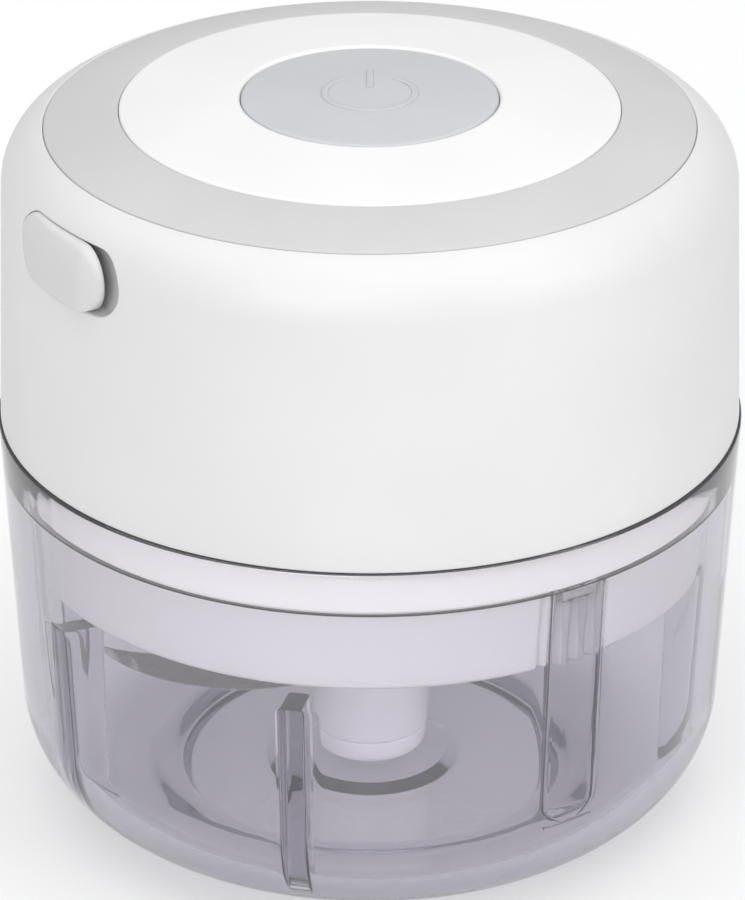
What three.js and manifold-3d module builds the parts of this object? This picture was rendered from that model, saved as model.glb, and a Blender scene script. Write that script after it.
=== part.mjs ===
// Cordless mini food processor: a clear bowl, a blade set on a spindle pin, and a
// motor head that drops into the bowl. Millimetres, +Z up, origin at the centre of the base.
// The bowl's key rib and its magnet face -Y, the charging port faces -X.
import * as THREE from 'three';
import { mergeVertices } from 'three/addons/utils/BufferGeometryUtils.js';
import Module from 'manifold-3d';

const wasm = await Module();
wasm.setup();

// Driving dimensions.
const clearance = 0.3;
const joinGap = 0.1;
const cutMargin = 1;
const roundSegments = 40;
const smallSegments = 16;

const bowl = {
  rimRadius: 43.8, rimHeight: 49.5, draft: 0.0485,
  cornerRadius: 14.3, wall: 2.6, lipWall: 1.9, ledgeHeight: 43.6, ledgeRadius: 40.9,
  footInner: 23.5, footRise: 0.8, footSlope: 0.6, bossRadius: 9.2, bossHeight: 3.2,
};
const ribs = { pairs: [46.5, 93.5, 137], thickness: 2.4, innerRadius: 35.4, top: 30.5 };
const keyRib = { width: 6.5, innerRadius: 39.2, bottom: 8 };
const magnet = { width: 4.1, height: 1.6, thickness: 1.1, top: 43.5 };
const spindle = { radius: 2, top: 19.6, tipRound: 1 };
const washer = { radius: 4.4, lift: 0.2, thickness: 0.6 };

const hub = {
  radius: 7.15, footRadius: 6.9, footBottom: 4.3, footTop: 7.3, bladeLevel: 19.2, top: 31.6,
  bore: 3.6, neck: 4.2, socketFlats: 7.8, socketFloor: 23.6, footRound: 1.2, socketWall: 0.8,
  bushWall: 0.9, capBevel: 0.6,
};
const blade = { thickness: 0.9, levelStep: 2.4, ringRadius: 6.6, neckHole: 4.5, tipRadius: 32.4 };

const housing = {
  bottom: 49.8, bottomRadius: 43.5, draft: 0.0365, wall: 2.4, edgeRound: 0.8,
  domeRadius: 260, top: 88.75, ringOuter: 37.4, ringInner: 28.8, ringSlope: 17,
  seatHeight: 83, seatThickness: 2.2, seatInner: 25,
};
const cap = { skin: 2, rimWall: 1.8, edge: 0.3, edgeDrop: 0.2, flatRadius: 22 };
const button = { radius: 14.8, collar: 15.1, collarWall: 1.3, collarBottom: 82.6, travel: 1.2, stem: 2.6,
  stemRoot: 86, under: 85.6, skirtBottom: 83.6, wall: 1.4, edge: 0.4, sink: 0.05, domeRadius: 8 };
const port = {
  height: 78.3, middle: -0.6, length: 17.5, tall: 7.6, recessFloor: 39.5, padInner: 37.3, notch: 2,
  margin: 0.3,
  hingeY: 7.6, hingeX: -41.55, ajar: 4.6, socketLength: 7.3, socketWidth: 8.9, socketHeight: 3.2,
  socketWall: 0.4, tongueHalf: 3.2,
};

const cover = {
  bottom: 33.2, floorThickness: 1.8, bottomRadius: 39.5, topRadius: 40.3, wall: 1.8,
  stepHeight: 43.9, flangeRadius: 41.5, flangeTop: 49.5, spigotRadius: 40.7, spigotTop: 54,
  shaftHole: 6.7, keyDepth: 1.6, keySideGap: 1.05, edge: 1, stepSlope: 0.6, keyOverlap: 0.1,
};
const post = { count: 3, radius: 2.9, circle: 33.5, top: 80.5, pilot: 1.1, pilotDepth: 10, screwHole: 1.6,
  screwSink: 3 };
const boardBoss = { x: -28, y: 9.5, radius: 2.6, pilot: 1.1 };
const pad = { side: 3, under: 2.5 };
const sensor = { width: 4, depth: 1.6, bottom: 41.5, top: 45.5 };
const motor = { radius: 12.2, wall: 1, bottom: 38.3, top: 64, bellTop: 66.8, shaft: 1, frontHole: 3.3,
  endPlate: 2, edge: 0.8, bellDepth: 2.4, bellHub: 6, magnetWall: 2.1, coreRadius: 8.6, slotDepth: 3.4,
  slotWidth: 1.8, commutator: 3.4 };
const motorSegments = 24;
const bracket = { bottom: 36.4, top: 38, width: 15, bossSpacing: 18, end: 3.2, boss: 2.8, pilot: 1,
  motorScrew: 8.5, motorHole: 1.2, centreHole: 5 };
const coupler = { flats: 7.2, bottom: 24, shoulder: 32.4, top: 36, collarRadius: 4.3,
  overlap: 0.5 };
const cell = { radius: 7, length: 50, x: 21, height: 60, edge: 0.6, button: 2.6, buttonHeight: 0.8 };
const cradle = { halfWidth: 6, halfLength: 17.5, base: 2, saddle: 15, saddleWidth: 3, side: 1 };
const board = { low: -36, high: 12, halfWidth: 13, bottom: 74.8, thickness: 1.6 };
const tactSwitch = { width: 6, body: 2.9, top: 4.2, plunger: 1.7, reach: 2.2 };

// Materials.
function paint(color, roughness, metalness = 0) {
  return new THREE.MeshStandardMaterial({ color, roughness, metalness });
}
const clearPolycarbonate = paint(0xb9bcc8, 0.08);
clearPolycarbonate.transparent = true;
clearPolycarbonate.opacity = 0.35;
const whiteShell = paint(0xf6f6f5, 0.45);
const greyTrim = paint(0xd9dadb, 0.6);
const greyButton = paint(0xcdd1d5, 0.5);
const plugRubber = paint(0xd2d2d2, 0.65);
const pearlHub = paint(0xdcdbe0, 0.25);
const steel = paint(0xb9bbbf, 0.28, 1);
const nickel = paint(0xc8c8c8, 0.3, 1);
const brass = paint(0xb59a5b, 0.35, 1);
const copper = paint(0xb06a3c, 0.4, 1);
const ferrite = paint(0x3a3a3c, 0.7);
const blackPlastic = paint(0x26272a, 0.5);
const boardGreen = paint(0x1f5b3a, 0.5);
const cellWrap = paint(0x3d6fb0, 0.4);
const redLead = paint(0xb3302a, 0.5);
const blackLead = paint(0x1c1c1e, 0.5);
const greyLead = paint(0x8b8d91, 0.5);

// Geometry helpers.
const degrees = (angle) => (angle * Math.PI) / 180;

// Merges shared vertices, drops collapsed triangles and turns the faces outward.
function closed(source) {
  const bare = source.clone();
  bare.deleteAttribute('normal');
  bare.deleteAttribute('uv');
  const merged = mergeVertices(bare, 1e-4);
  const points = merged.getAttribute('position');
  const corner = (index) => new THREE.Vector3().fromBufferAttribute(points, index);
  const kept = [];
  let volume = 0;
  for (let i = 0; i < merged.index.count; i += 3) {
    const [a, b, c] = [0, 1, 2].map((step) => merged.index.getX(i + step));
    if (a === b || b === c || c === a) continue;
    kept.push([a, b, c]);
    volume += corner(a).dot(corner(b).cross(corner(c)));
  }
  const faces = volume < 0 ? kept.map(([a, b, c]) => [a, c, b]) : kept;
  const geometry = new THREE.BufferGeometry();
  geometry.setAttribute('position', points);
  geometry.setIndex(faces.flat());
  return geometry;
}

function solid(source) {
  const geometry = closed(source);
  const vertProperties = Float32Array.from(geometry.getAttribute('position').array);
  const triVerts = Uint32Array.from(geometry.index.array);
  return new wasm.Manifold(new wasm.Mesh({ numProp: 3, vertProperties, triVerts }));
}

function surface(body) {
  const { vertProperties, triVerts } = body.getMesh();
  const geometry = new THREE.BufferGeometry();
  geometry.setAttribute('position', new THREE.BufferAttribute(vertProperties, 3));
  geometry.setIndex(new THREE.BufferAttribute(triVerts, 1));
  return geometry;
}

// A solid of revolution about Z; profile points are [radius, height].
function turned(profile, segments = roundSegments) {
  const points = profile.map(([radius, height]) => new THREE.Vector2(radius, height));
  if (profile[0][0] > 0) points.push(points[0].clone());
  return new THREE.LatheGeometry(points, segments).rotateX(Math.PI / 2);
}

function tube(inner, outer, bottom, top, segments = smallSegments) {
  return turned([[inner, bottom], [outer, bottom], [outer, top], [inner, top]], segments);
}

function rod(radius, bottom, top, segments = smallSegments) {
  return turned([[0, bottom], [radius, bottom], [radius, top], [0, top]], segments);
}

function box(low, high) {
  const size = low.map((value, axis) => high[axis] - value);
  const middle = low.map((value, axis) => (high[axis] + value) / 2);
  return new THREE.BoxGeometry(...size).translate(...middle);
}

function prism(shape, bottom, top, curveSegments = 10) {
  const settings = { depth: top - bottom, bevelEnabled: false, curveSegments };
  return new THREE.ExtrudeGeometry(shape, settings).translate(0, 0, bottom);
}

function hexagon(flats) {
  const radius = flats / 2 / Math.cos(Math.PI / 6);
  const corners = [0, 1, 2, 3, 4, 5].map((side) => {
    const angle = degrees(60 * side + 30);
    return new THREE.Vector2(radius * Math.cos(angle), radius * Math.sin(angle));
  });
  return new THREE.Shape(corners);
}

// Points on an arc about a centre; angles in degrees, both ends included.
function arc(centre, radius, from, to, steps) {
  return Array.from({ length: steps + 1 }, (_, step) => {
    const angle = degrees(from + ((to - from) * step) / steps);
    return [centre[0] + radius * Math.cos(angle), centre[1] + radius * Math.sin(angle)];
  });
}

function around(geometry, angle) {
  return geometry.clone().rotateZ(degrees(angle));
}

const product = new THREE.Group();
function add(name, shape, material) {
  const geometry = shape.isBufferGeometry ? closed(shape) : surface(shape);
  const mesh = new THREE.Mesh(geometry, material);
  mesh.name = name;
  product.add(mesh);
}

// Bowl.
const cornerCentre = [bowl.rimRadius - bowl.draft * (bowl.rimHeight - bowl.cornerRadius)
  - bowl.cornerRadius, bowl.cornerRadius];
const innerCorner = bowl.cornerRadius - bowl.wall;

const ribAngles = [...ribs.pairs, 180, ...ribs.pairs.map((angle) => -angle)];

const ribRoot = 1;

// The wall and floor, then the ribs and the key rib grown out of the wall's middle, then the magnet's pocket.
function bowlBody() {
  const shell = turned([
    [0, bowl.footRise],
    [bowl.footInner - bowl.footSlope, bowl.footRise],
    [bowl.footInner, 0],
    ...arc(cornerCentre, bowl.cornerRadius, -90, 0, 7),
    [bowl.rimRadius, bowl.rimHeight],
    [bowl.rimRadius - bowl.lipWall, bowl.rimHeight],
    [bowl.rimRadius - bowl.lipWall, bowl.ledgeHeight],
    [bowl.ledgeRadius, bowl.ledgeHeight],
    ...arc(cornerCentre, innerCorner, 0, -90, 6),
    [bowl.bossRadius, bowl.wall],
    [bowl.bossRadius, bowl.bossHeight],
    [0, bowl.bossHeight],
  ]);
  const outerLimit = solid(turned([
    [0, ribRoot],
    ...arc(cornerCentre, bowl.cornerRadius - ribRoot, -90, 0, 8),
    [bowl.rimRadius - 2 * ribRoot, bowl.ledgeHeight],
    [0, bowl.ledgeHeight],
  ]));
  let body = solid(shell);
  const fin = box([ribs.innerRadius, -ribs.thickness / 2, bowl.wall],
    [bowl.rimRadius, ribs.thickness / 2, ribs.top]);
  for (const angle of ribAngles) {
    body = body.add(solid(around(fin, angle - 90)).intersect(outerLimit));
  }
  const key = box([-keyRib.width / 2, -bowl.rimRadius, keyRib.bottom],
    [keyRib.width / 2, -keyRib.innerRadius, bowl.ledgeHeight]);
  const pocketSide = magnet.width / 2 + clearance;
  const pocketBack = keyRib.innerRadius + magnet.thickness + 2 * clearance;
  const pocket = box([-pocketSide, -pocketBack, magnet.top - magnet.height - clearance],
    [pocketSide, cutMargin - keyRib.innerRadius, magnet.top + cutMargin]);
  return body.add(solid(key).intersect(outerLimit)).subtract(solid(pocket));
}
add('bowl', bowlBody(), clearPolycarbonate);

const magnetFace = -keyRib.innerRadius - joinGap;
add('interlock_magnet', box(
  [-magnet.width / 2, magnetFace - magnet.thickness, magnet.top - magnet.height],
  [magnet.width / 2, magnetFace, magnet.top],
), nickel);

add('spindle_pin', turned([
  [0, bowl.bossHeight + clearance],
  [spindle.radius, bowl.bossHeight + clearance],
  ...arc([spindle.radius - spindle.tipRound, spindle.top - spindle.tipRound], spindle.tipRound, 0, 90, 3),
  [0, spindle.top],
], smallSegments), steel);
const washerBottom = bowl.bossHeight + washer.lift;
add('thrust_washer', tube(spindle.radius + clearance, washer.radius, washerBottom,
  washerBottom + washer.thickness), steel);

// Blade set.
const lowerBlade = [hub.bladeLevel, hub.bladeLevel + blade.thickness];
const upperBlade = lowerBlade.map((height) => height + blade.levelStep);

add('hub_foot', turned([
  [hub.bore + clearance, hub.footBottom],
  ...arc([hub.footRadius - hub.footRound, hub.footBottom + hub.footRound], hub.footRound, -90, 0, 3),
  [hub.footRadius, hub.footTop],
  [hub.bore + clearance, hub.footTop],
]), pearlHub);

const boreRoof = spindle.top + 2 * clearance;
const neckTop = hub.socketFloor - hub.socketWall;
add('blade_hub', turned([
  [hub.bore, hub.footTop + joinGap],
  [hub.radius, hub.footTop + joinGap],
  [hub.radius, lowerBlade[0] - joinGap],
  [hub.neck, lowerBlade[0] - joinGap],
  [hub.neck, neckTop],
  [0, neckTop],
  [0, boreRoof],
  [spindle.radius + 2 * clearance, boreRoof],
  [spindle.radius + 2 * clearance, lowerBlade[0] - hub.bushWall],
  [hub.bore, lowerBlade[0] - hub.bushWall],
]), pearlHub);
add('hub_bush', tube(spindle.radius + joinGap, hub.bore - joinGap, hub.footBottom + clearance,
  lowerBlade[0] - hub.bushWall - clearance), brass);
add('blade_spacer', tube(blade.neckHole, blade.ringRadius, lowerBlade[1] + joinGap,
  upperBlade[0] - joinGap), steel);

// One sickle wing: an outer edge that sweeps out from the hub to the tip, and an inner edge back.
function bladeShape() {
  const root = blade.ringRadius - cutMargin;
  const at = (radius, angle) => [radius * Math.cos(degrees(angle)), radius * Math.sin(degrees(angle))];
  const wing = new THREE.Shape();
  wing.moveTo(...at(root, 232));
  wing.bezierCurveTo(...at(16, 222), ...at(29, 188), ...at(blade.tipRadius, 156));
  wing.bezierCurveTo(...at(25, 168), ...at(15, 176), ...at(root, 150));
  return wing;
}

function bladeBody(bottom, top, turn) {
  const wing = solid(prism(bladeShape(), bottom, top, 8));
  const ring = solid(rod(blade.ringRadius, bottom, top));
  const hole = solid(rod(blade.neckHole, bottom - cutMargin, top + cutMargin));
  return wing.add(ring).subtract(hole).rotate([0, 0, turn]);
}
add('blade_lower', bladeBody(...lowerBlade, 0), steel);
add('blade_upper', bladeBody(...upperBlade, 180), steel);

function hubCap() {
  const outside = solid(turned([
    [0, upperBlade[1] + joinGap],
    [hub.radius, upperBlade[1] + joinGap],
    [hub.radius, hub.top - hub.capBevel],
    [hub.radius - hub.capBevel, hub.top],
    [0, hub.top],
  ]));
  const neckRoom = solid(rod(hub.neck + clearance, upperBlade[0], neckTop + clearance));
  const socket = solid(prism(hexagon(hub.socketFlats), hub.socketFloor, hub.top + cutMargin));
  return outside.subtract(neckRoom).subtract(socket);
}
add('hub_cap', hubCap(), pearlHub);

// Housing shell and its top trim.
const domeCentre = housing.top - housing.domeRadius;
const domeHeight = (radius) => domeCentre + Math.sqrt(housing.domeRadius ** 2 - radius ** 2);
const domeSlope = Math.asin(housing.ringInner / housing.domeRadius) * (180 / Math.PI);
const sine = (angle) => Math.sin(degrees(angle));
const cosine = (angle) => Math.cos(degrees(angle));

// The ring's surface is an arc from the dome's slope to the steeper slope at its outer edge.
const ringArc = (housing.ringOuter - housing.ringInner) / (sine(housing.ringSlope) - sine(domeSlope));
const ringCentre = [housing.ringInner - ringArc * sine(domeSlope),
  domeHeight(housing.ringInner) - ringArc * cosine(domeSlope)];
const ringEdgeHeight = ringCentre[1] + ringArc * cosine(housing.ringSlope);
const ringHeight = (radius) => ringCentre[1] + Math.sqrt(ringArc ** 2 - (radius - ringCentre[0]) ** 2);

// The shoulder's arc is tangent to the drafted wall and to the ring's outer edge.
const wallSlope = 90 - Math.atan(housing.draft) * (180 / Math.PI);
const runOut = sine(wallSlope) - sine(housing.ringSlope);
const rise = cosine(housing.ringSlope) - cosine(wallSlope);
const wallAtRing = housing.bottomRadius - housing.draft * (ringEdgeHeight - housing.bottom);
const shoulder = (wallAtRing - housing.ringOuter) / (runOut - housing.draft * rise);
const shoulderCentre = [housing.ringOuter - shoulder * sine(housing.ringSlope),
  ringEdgeHeight - shoulder * cosine(housing.ringSlope)];
const shoulderStart = 90 - wallSlope;
const shoulderEnd = 90 - housing.ringSlope;

const housingOutline = (round) => [
  [housing.bottomRadius - round, housing.bottom],
  [housing.bottomRadius, housing.bottom + round],
  ...arc(shoulderCentre, shoulder, shoulderStart, shoulderEnd, 5),
];
const wholeHead = () => turned([
  [0, housing.bottom],
  ...housingOutline(0.1),
  [housing.ringInner, domeHeight(housing.ringInner)],
  [0, housing.top],
]);
// Three posts carry the housing; their screws come in from above, under the trim.
const screwAngles = Array.from({ length: post.count }, (_, index) => (index * 360) / post.count);
const boardBosses = [-boardBoss.y, boardBoss.y].map((y) => [boardBoss.x, y]);
const atPost = (geometry, angle) => around(geometry.clone().translate(post.circle, 0, 0), angle);

// A stadium outline standing in the YZ plane, extruded along X between two positions.
function obround(length, tall, fromX, toX) {
  const radius = tall / 2;
  const straight = length / 2 - radius;
  const outline = new THREE.Shape();
  outline.moveTo(-straight, -radius);
  outline.lineTo(straight, -radius);
  outline.absarc(straight, 0, radius, -Math.PI / 2, Math.PI / 2, false);
  outline.lineTo(-straight, radius);
  outline.absarc(-straight, 0, radius, Math.PI / 2, (3 * Math.PI) / 2, false);
  return prism(outline, fromX, toX, 6)
    .rotateX(Math.PI / 2)
    .rotateZ(Math.PI / 2)
    .translate(0, port.middle, port.height);
}

const seatUnder = housing.seatHeight - housing.seatThickness;
const seatHole = housing.ringOuter + 0.2;

// The outer shell with the seat for the trim, the board's bosses, and the backed recess for the port.
function topHousing() {
  const insideRadius = housing.bottomRadius - housing.wall;
  let body = solid(turned([
    ...housingOutline(housing.edgeRound),
    [seatHole, ringEdgeHeight],
    [seatHole, housing.seatHeight],
    [housing.seatInner, housing.seatHeight],
    [housing.seatInner, seatUnder],
    [shoulderCentre[0], seatUnder],
    ...arc(shoulderCentre, shoulder - housing.wall, 30, shoulderStart, 2),
    [insideRadius, housing.bottom],
  ]));
  const padHalf = port.length / 2 + pad.side;
  const backing = solid(box([-bowl.rimRadius, port.middle - padHalf, port.height - port.tall / 2 - pad.under],
    [-port.padInner, port.middle + padHalf, seatUnder + clearance]));
  body = body.add(backing.intersect(solid(wholeHead())));
  for (const [x, y] of boardBosses) {
    const boss = rod(boardBoss.radius, board.bottom + board.thickness + clearance, seatUnder + cutMargin);
    const pilot = rod(boardBoss.pilot, board.bottom, seatUnder - 2 * clearance);
    body = body.add(solid(boss.translate(x, y, 0))).subtract(solid(pilot.translate(x, y, 0)));
  }
  for (const angle of screwAngles) {
    const hole = rod(post.screwHole, seatUnder - cutMargin, housing.seatHeight + cutMargin);
    const sink = rod(post.screwSink, housing.seatHeight - cutMargin, housing.seatHeight + cutMargin);
    body = body.subtract(solid(atPost(hole, angle))).subtract(solid(atPost(sink, angle)));
  }
  const recess = obround(port.length + port.notch + 2 * port.margin, port.tall + 2 * port.margin,
    -bowl.rimRadius - cutMargin, -port.recessFloor).translate(0, -port.notch / 2, 0);
  const mouthHalf = port.socketWidth / 2 + clearance;
  const mouthRise = port.socketHeight / 2 + clearance;
  const mouth = box([-bowl.rimRadius, port.middle - mouthHalf, port.height - mouthRise],
    [-port.padInner + cutMargin, port.middle + mouthHalf, port.height + mouthRise]);
  return body.subtract(solid(recess)).subtract(solid(mouth));
}
add('top_housing', topHousing(), whiteShell);

add('accent_ring', turned([
  [housing.ringInner, housing.seatHeight + clearance],
  [housing.ringOuter, housing.seatHeight + clearance],
  ...[0, 1, 2, 3].map((step) => {
    const radius = housing.ringOuter - ((housing.ringOuter - housing.ringInner) * step) / 3;
    return [radius, ringHeight(radius)];
  }),
]), greyTrim);

const capOuter = housing.ringInner - clearance;
const collarOuter = button.collar + button.collarWall;
const capUnder = domeHeight(capOuter) - cap.skin;
add('top_cap', turned([
  [button.collar, button.collarBottom],
  [collarOuter, button.collarBottom],
  [collarOuter, capUnder],
  [capOuter - cap.rimWall, capUnder],
  [capOuter - cap.rimWall, housing.seatHeight + clearance],
  [capOuter, housing.seatHeight + clearance],
  [capOuter, domeHeight(capOuter) - cap.edgeDrop],
  [capOuter - cap.edge, domeHeight(capOuter - cap.edge)],
  [cap.flatRadius, domeHeight(cap.flatRadius)],
  [button.collar, domeHeight(button.collar)],
]), whiteShell);

const switchTop = board.bottom + board.thickness + tactSwitch.top;
const stemBottom = switchTop + clearance / 2;
const buttonTop = (radius) => domeHeight(radius) - button.sink;
add('power_button', turned([
  [0, stemBottom],
  [button.stem, stemBottom],
  [button.stem, button.stemRoot],
  [button.radius - button.wall, button.under],
  [button.radius - button.wall, button.skirtBottom],
  [button.radius, button.skirtBottom],
  [button.radius, buttonTop(button.radius) - button.edge],
  [button.radius - button.edge, buttonTop(button.radius)],
  [button.domeRadius, buttonTop(button.domeRadius)],
  [0, buttonTop(0)],
], 36), greyButton);

function portPlug() {
  const blank = solid(obround(port.length, port.tall, -bowl.rimRadius, -port.recessFloor - clearance));
  const flush = surface(blank.intersect(solid(wholeHead())));
  flush.translate(-port.hingeX, -port.hingeY, 0);
  flush.rotateZ(degrees(-port.ajar));
  return flush.translate(port.hingeX, port.hingeY, 0);
}
add('port_plug', portPlug(), plugRubber);

// Base cover: the cup under the head, with its posts and the keyway for the magnet rib.
// A slab that leans with the cover's wall, between two depths inside it and two heights.
function keyWedge(outerDepth, innerDepth, halfWidth, low, high) {
  const wallFoot = cover.bottom + cover.edge;
  const lean = (cover.topRadius - cover.bottomRadius) / (cover.stepHeight - cover.stepSlope - wallFoot);
  const wallAt = (height) => cover.bottomRadius + lean * (height - wallFoot);
  const outline = new THREE.Shape([
    new THREE.Vector2(outerDepth - wallAt(low), low),
    new THREE.Vector2(innerDepth - wallAt(low), low),
    new THREE.Vector2(innerDepth - wallAt(high), high),
    new THREE.Vector2(outerDepth - wallAt(high), high),
  ]);
  return prism(outline, -halfWidth, halfWidth)
    .rotateX(Math.PI / 2)
    .rotateZ(Math.PI / 2);
}

const floorTop = cover.bottom + cover.floorThickness;
const rootHeight = floorTop - cover.floorThickness / 2;

function baseCover() {
  const wallTop = [cover.topRadius, cover.stepHeight - cover.stepSlope];
  let body = solid(turned([
    [cover.shaftHole, cover.bottom],
    [cover.bottomRadius - cover.edge, cover.bottom],
    [cover.bottomRadius, cover.bottom + cover.edge],
    wallTop,
    [cover.flangeRadius, cover.stepHeight],
    [cover.flangeRadius, cover.flangeTop],
    [cover.spigotRadius, cover.flangeTop],
    [cover.spigotRadius, cover.spigotTop],
    [cover.spigotRadius - cover.wall, cover.spigotTop],
    [cover.topRadius - cover.wall, cover.stepHeight],
    [cover.bottomRadius - cover.wall, floorTop],
    [cover.shaftHole, floorTop],
  ]));
  const keyHalf = keyRib.width / 2 + cover.keySideGap;
  const keyTop = cover.stepHeight + cover.wall;
  const backing = keyWedge(cover.keyDepth - cover.keyOverlap, cover.keyDepth + cover.wall,
    keyHalf + cover.wall, floorTop - cover.edge, keyTop);
  const inside = solid(turned([
    [0, floorTop - cover.edge],
    [cover.bottomRadius - cover.edge, floorTop - cover.edge],
    [cover.topRadius - cover.edge, keyTop],
    [0, keyTop],
  ]));
  const keyway = keyWedge(-cover.wall * 3, cover.keyDepth, keyHalf, cover.bottom - cutMargin,
    cover.stepHeight + cover.stepSlope);
  body = body.add(solid(backing).intersect(inside)).subtract(solid(keyway));
  for (const angle of screwAngles) {
    const pilot = rod(post.pilot, post.top - post.pilotDepth, post.top + cutMargin);
    body = body.add(solid(atPost(rod(post.radius, rootHeight, post.top), angle)));
    body = body.subtract(solid(atPost(pilot, angle)));
  }
  for (const y of [-bracket.bossSpacing, bracket.bossSpacing]) {
    const boss = rod(bracket.boss, rootHeight, bracket.bottom - clearance);
    const pilot = rod(bracket.pilot, cover.bottom + cover.floorThickness / 2, bracket.bottom + cutMargin);
    body = body.add(solid(boss.translate(0, y, 0))).subtract(solid(pilot.translate(0, y, 0)));
  }
  return body;
}
add('base_cover', baseCover(), whiteShell);
add('shaft_seal', tube(coupler.collarRadius + joinGap, cover.shaftHole - joinGap,
  cover.bottom + joinGap, floorTop + joinGap), blackPlastic);

// Screws.
const screwSegments = 12;
const screws = {
  housing: { shank: 0.9, head: 2.5, length: 8, headHeight: 1 },
  bracket: { shank: 0.8, head: 2, length: 3.4, headHeight: 1.2 },
  motor: { shank: 0.9, head: 1.8, length: 3.3, headHeight: 1 },
  board: { shank: 0.8, head: 1.9, length: 5, headHeight: 1 },
};

// A screw that hangs from the underside of its head.
function screw({ shank, head, length, headHeight }, seat) {
  const edge = 0.3;
  return turned([
    [0, seat - length],
    [shank, seat - length],
    [shank, seat],
    [head, seat],
    [head, seat + headHeight - edge],
    [head - edge, seat + headHeight],
    [0, seat + headHeight],
  ], screwSegments);
}

// The same screw driven upwards, its head's underside at `seat`.
const screwUp = (size, seat) => screw(size, -seat).rotateX(Math.PI);

screwAngles.forEach((angle, index) => {
  const seat = housing.seatHeight - cutMargin + joinGap;
  add(`housing_screw_${index + 1}`, atPost(screw(screws.housing, seat), angle), steel);
});
[-1, 1].forEach((side, index) => {
  const bracketScrew = screw(screws.bracket, bracket.top + joinGap);
  add(`bracket_screw_${index + 1}`, bracketScrew.translate(0, side * bracket.bossSpacing, 0), steel);
  const motorScrew = screwUp(screws.motor, bracket.bottom - joinGap);
  add(`motor_screw_${index + 1}`, motorScrew.translate(0, side * bracket.motorScrew, 0), steel);
  const [x, y] = boardBosses[index];
  add(`board_screw_${index + 1}`, screwUp(screws.board, board.bottom - joinGap).translate(x, y, 0), steel);
});

// Motor.
function motorBracket() {
  const halfLength = bracket.bossSpacing + bracket.end;
  const strip = box([-bracket.width / 2, -halfLength, bracket.bottom],
    [bracket.width / 2, halfLength, bracket.top]);
  const seat = rod(motor.radius + 2 * clearance, bracket.bottom, bracket.top, motorSegments);
  const holes = [
    [0, bracket.centreHole],
    [bracket.bossSpacing, bracket.pilot + joinGap],
    [-bracket.bossSpacing, bracket.pilot + joinGap],
    [bracket.motorScrew, bracket.motorHole],
    [-bracket.motorScrew, bracket.motorHole],
  ];
  let body = solid(strip).add(solid(seat));
  for (const [y, radius] of holes) {
    const hole = rod(radius, bracket.bottom - cutMargin, bracket.top + cutMargin);
    body = body.subtract(solid(hole.translate(0, y, 0)));
  }
  return body;
}
add('motor_bracket', motorBracket(), steel);

const canInside = motor.radius - motor.wall;
const plateTop = motor.bottom + motor.endPlate;
function motorCan() {
  let body = solid(turned([
    [motor.frontHole, motor.bottom],
    [motor.radius - motor.edge, motor.bottom],
    [motor.radius, motor.bottom + motor.edge],
    [motor.radius, motor.top],
    [canInside, motor.top],
    [canInside, plateTop],
    [motor.frontHole, plateTop],
  ], motorSegments));
  for (const y of [-bracket.motorScrew, bracket.motorScrew]) {
    const hole = rod(bracket.motorHole, motor.bottom - cutMargin, plateTop + cutMargin);
    body = body.subtract(solid(hole.translate(0, y, 0)));
  }
  return body;
}
add('motor_can', motorCan(), steel);

const bellPlug = canInside - 0.2;
add('motor_end_bell', turned([
  [motor.frontHole, motor.top - motor.bellDepth],
  [bellPlug, motor.top - motor.bellDepth],
  [bellPlug, motor.top + joinGap],
  [motor.radius, motor.top + joinGap],
  [motor.radius, motor.top + motor.edge],
  [motor.bellHub, motor.bellTop],
  [motor.frontHole, motor.bellTop],
], motorSegments), blackPlastic);
const bushBore = motor.shaft + joinGap / 2;
const bushRadius = motor.frontHole - 0.2;
add('motor_bush_lower', tube(bushBore, bushRadius, motor.bottom + joinGap, plateTop + 1.2), brass);
add('motor_bush_upper', tube(bushBore, bushRadius, motor.top - motor.bellDepth,
  motor.bellTop - clearance), brass);

function fieldMagnet(middle) {
  const span = 62;
  const outer = canInside - joinGap;
  const outline = new THREE.Shape();
  outline.absarc(0, 0, outer, degrees(middle - span), degrees(middle + span), false);
  outline.absarc(0, 0, outer - motor.magnetWall, degrees(middle + span), degrees(middle - span), true);
  return prism(outline, plateTop + 3, motor.top - motor.bellDepth - 1.6, 8);
}
add('field_magnet_1', fieldMagnet(0), ferrite);
add('field_magnet_2', fieldMagnet(180), ferrite);

const shaftBottom = coupler.shoulder + 2 * clearance;
add('motor_shaft', rod(motor.shaft, shaftBottom, motor.bellTop + clearance, screwSegments), steel);

// Three wound poles on the shaft, with slots between them.
const shaftFit = motor.shaft + clearance / 2;
const coreBottom = plateTop + 4;
const coreTop = motor.top - 10;
function armature() {
  let core = solid(tube(shaftFit, motor.coreRadius, coreBottom, coreTop, 18));
  const slot = box([motor.coreRadius - motor.slotDepth, -motor.slotWidth / 2, coreBottom - cutMargin],
    [motor.coreRadius + cutMargin, motor.slotWidth / 2, coreTop + cutMargin]);
  for (const angle of [0, 120, 240]) {
    core = core.subtract(solid(around(slot, angle)));
  }
  return core;
}
add('armature', armature(), copper);
add('commutator', tube(shaftFit, motor.commutator, coreTop + 1, motor.top - motor.bellDepth - 0.8), copper);

function driveCoupler() {
  const drive = solid(prism(hexagon(coupler.flats), coupler.bottom, coupler.shoulder));
  const collar = solid(rod(coupler.collarRadius, coupler.shoulder - coupler.overlap, coupler.top));
  const bore = solid(rod(shaftFit, shaftBottom - clearance, coupler.top + cutMargin));
  return drive.add(collar).subtract(bore);
}
add('drive_coupler', driveCoupler(), whiteShell);

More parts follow.
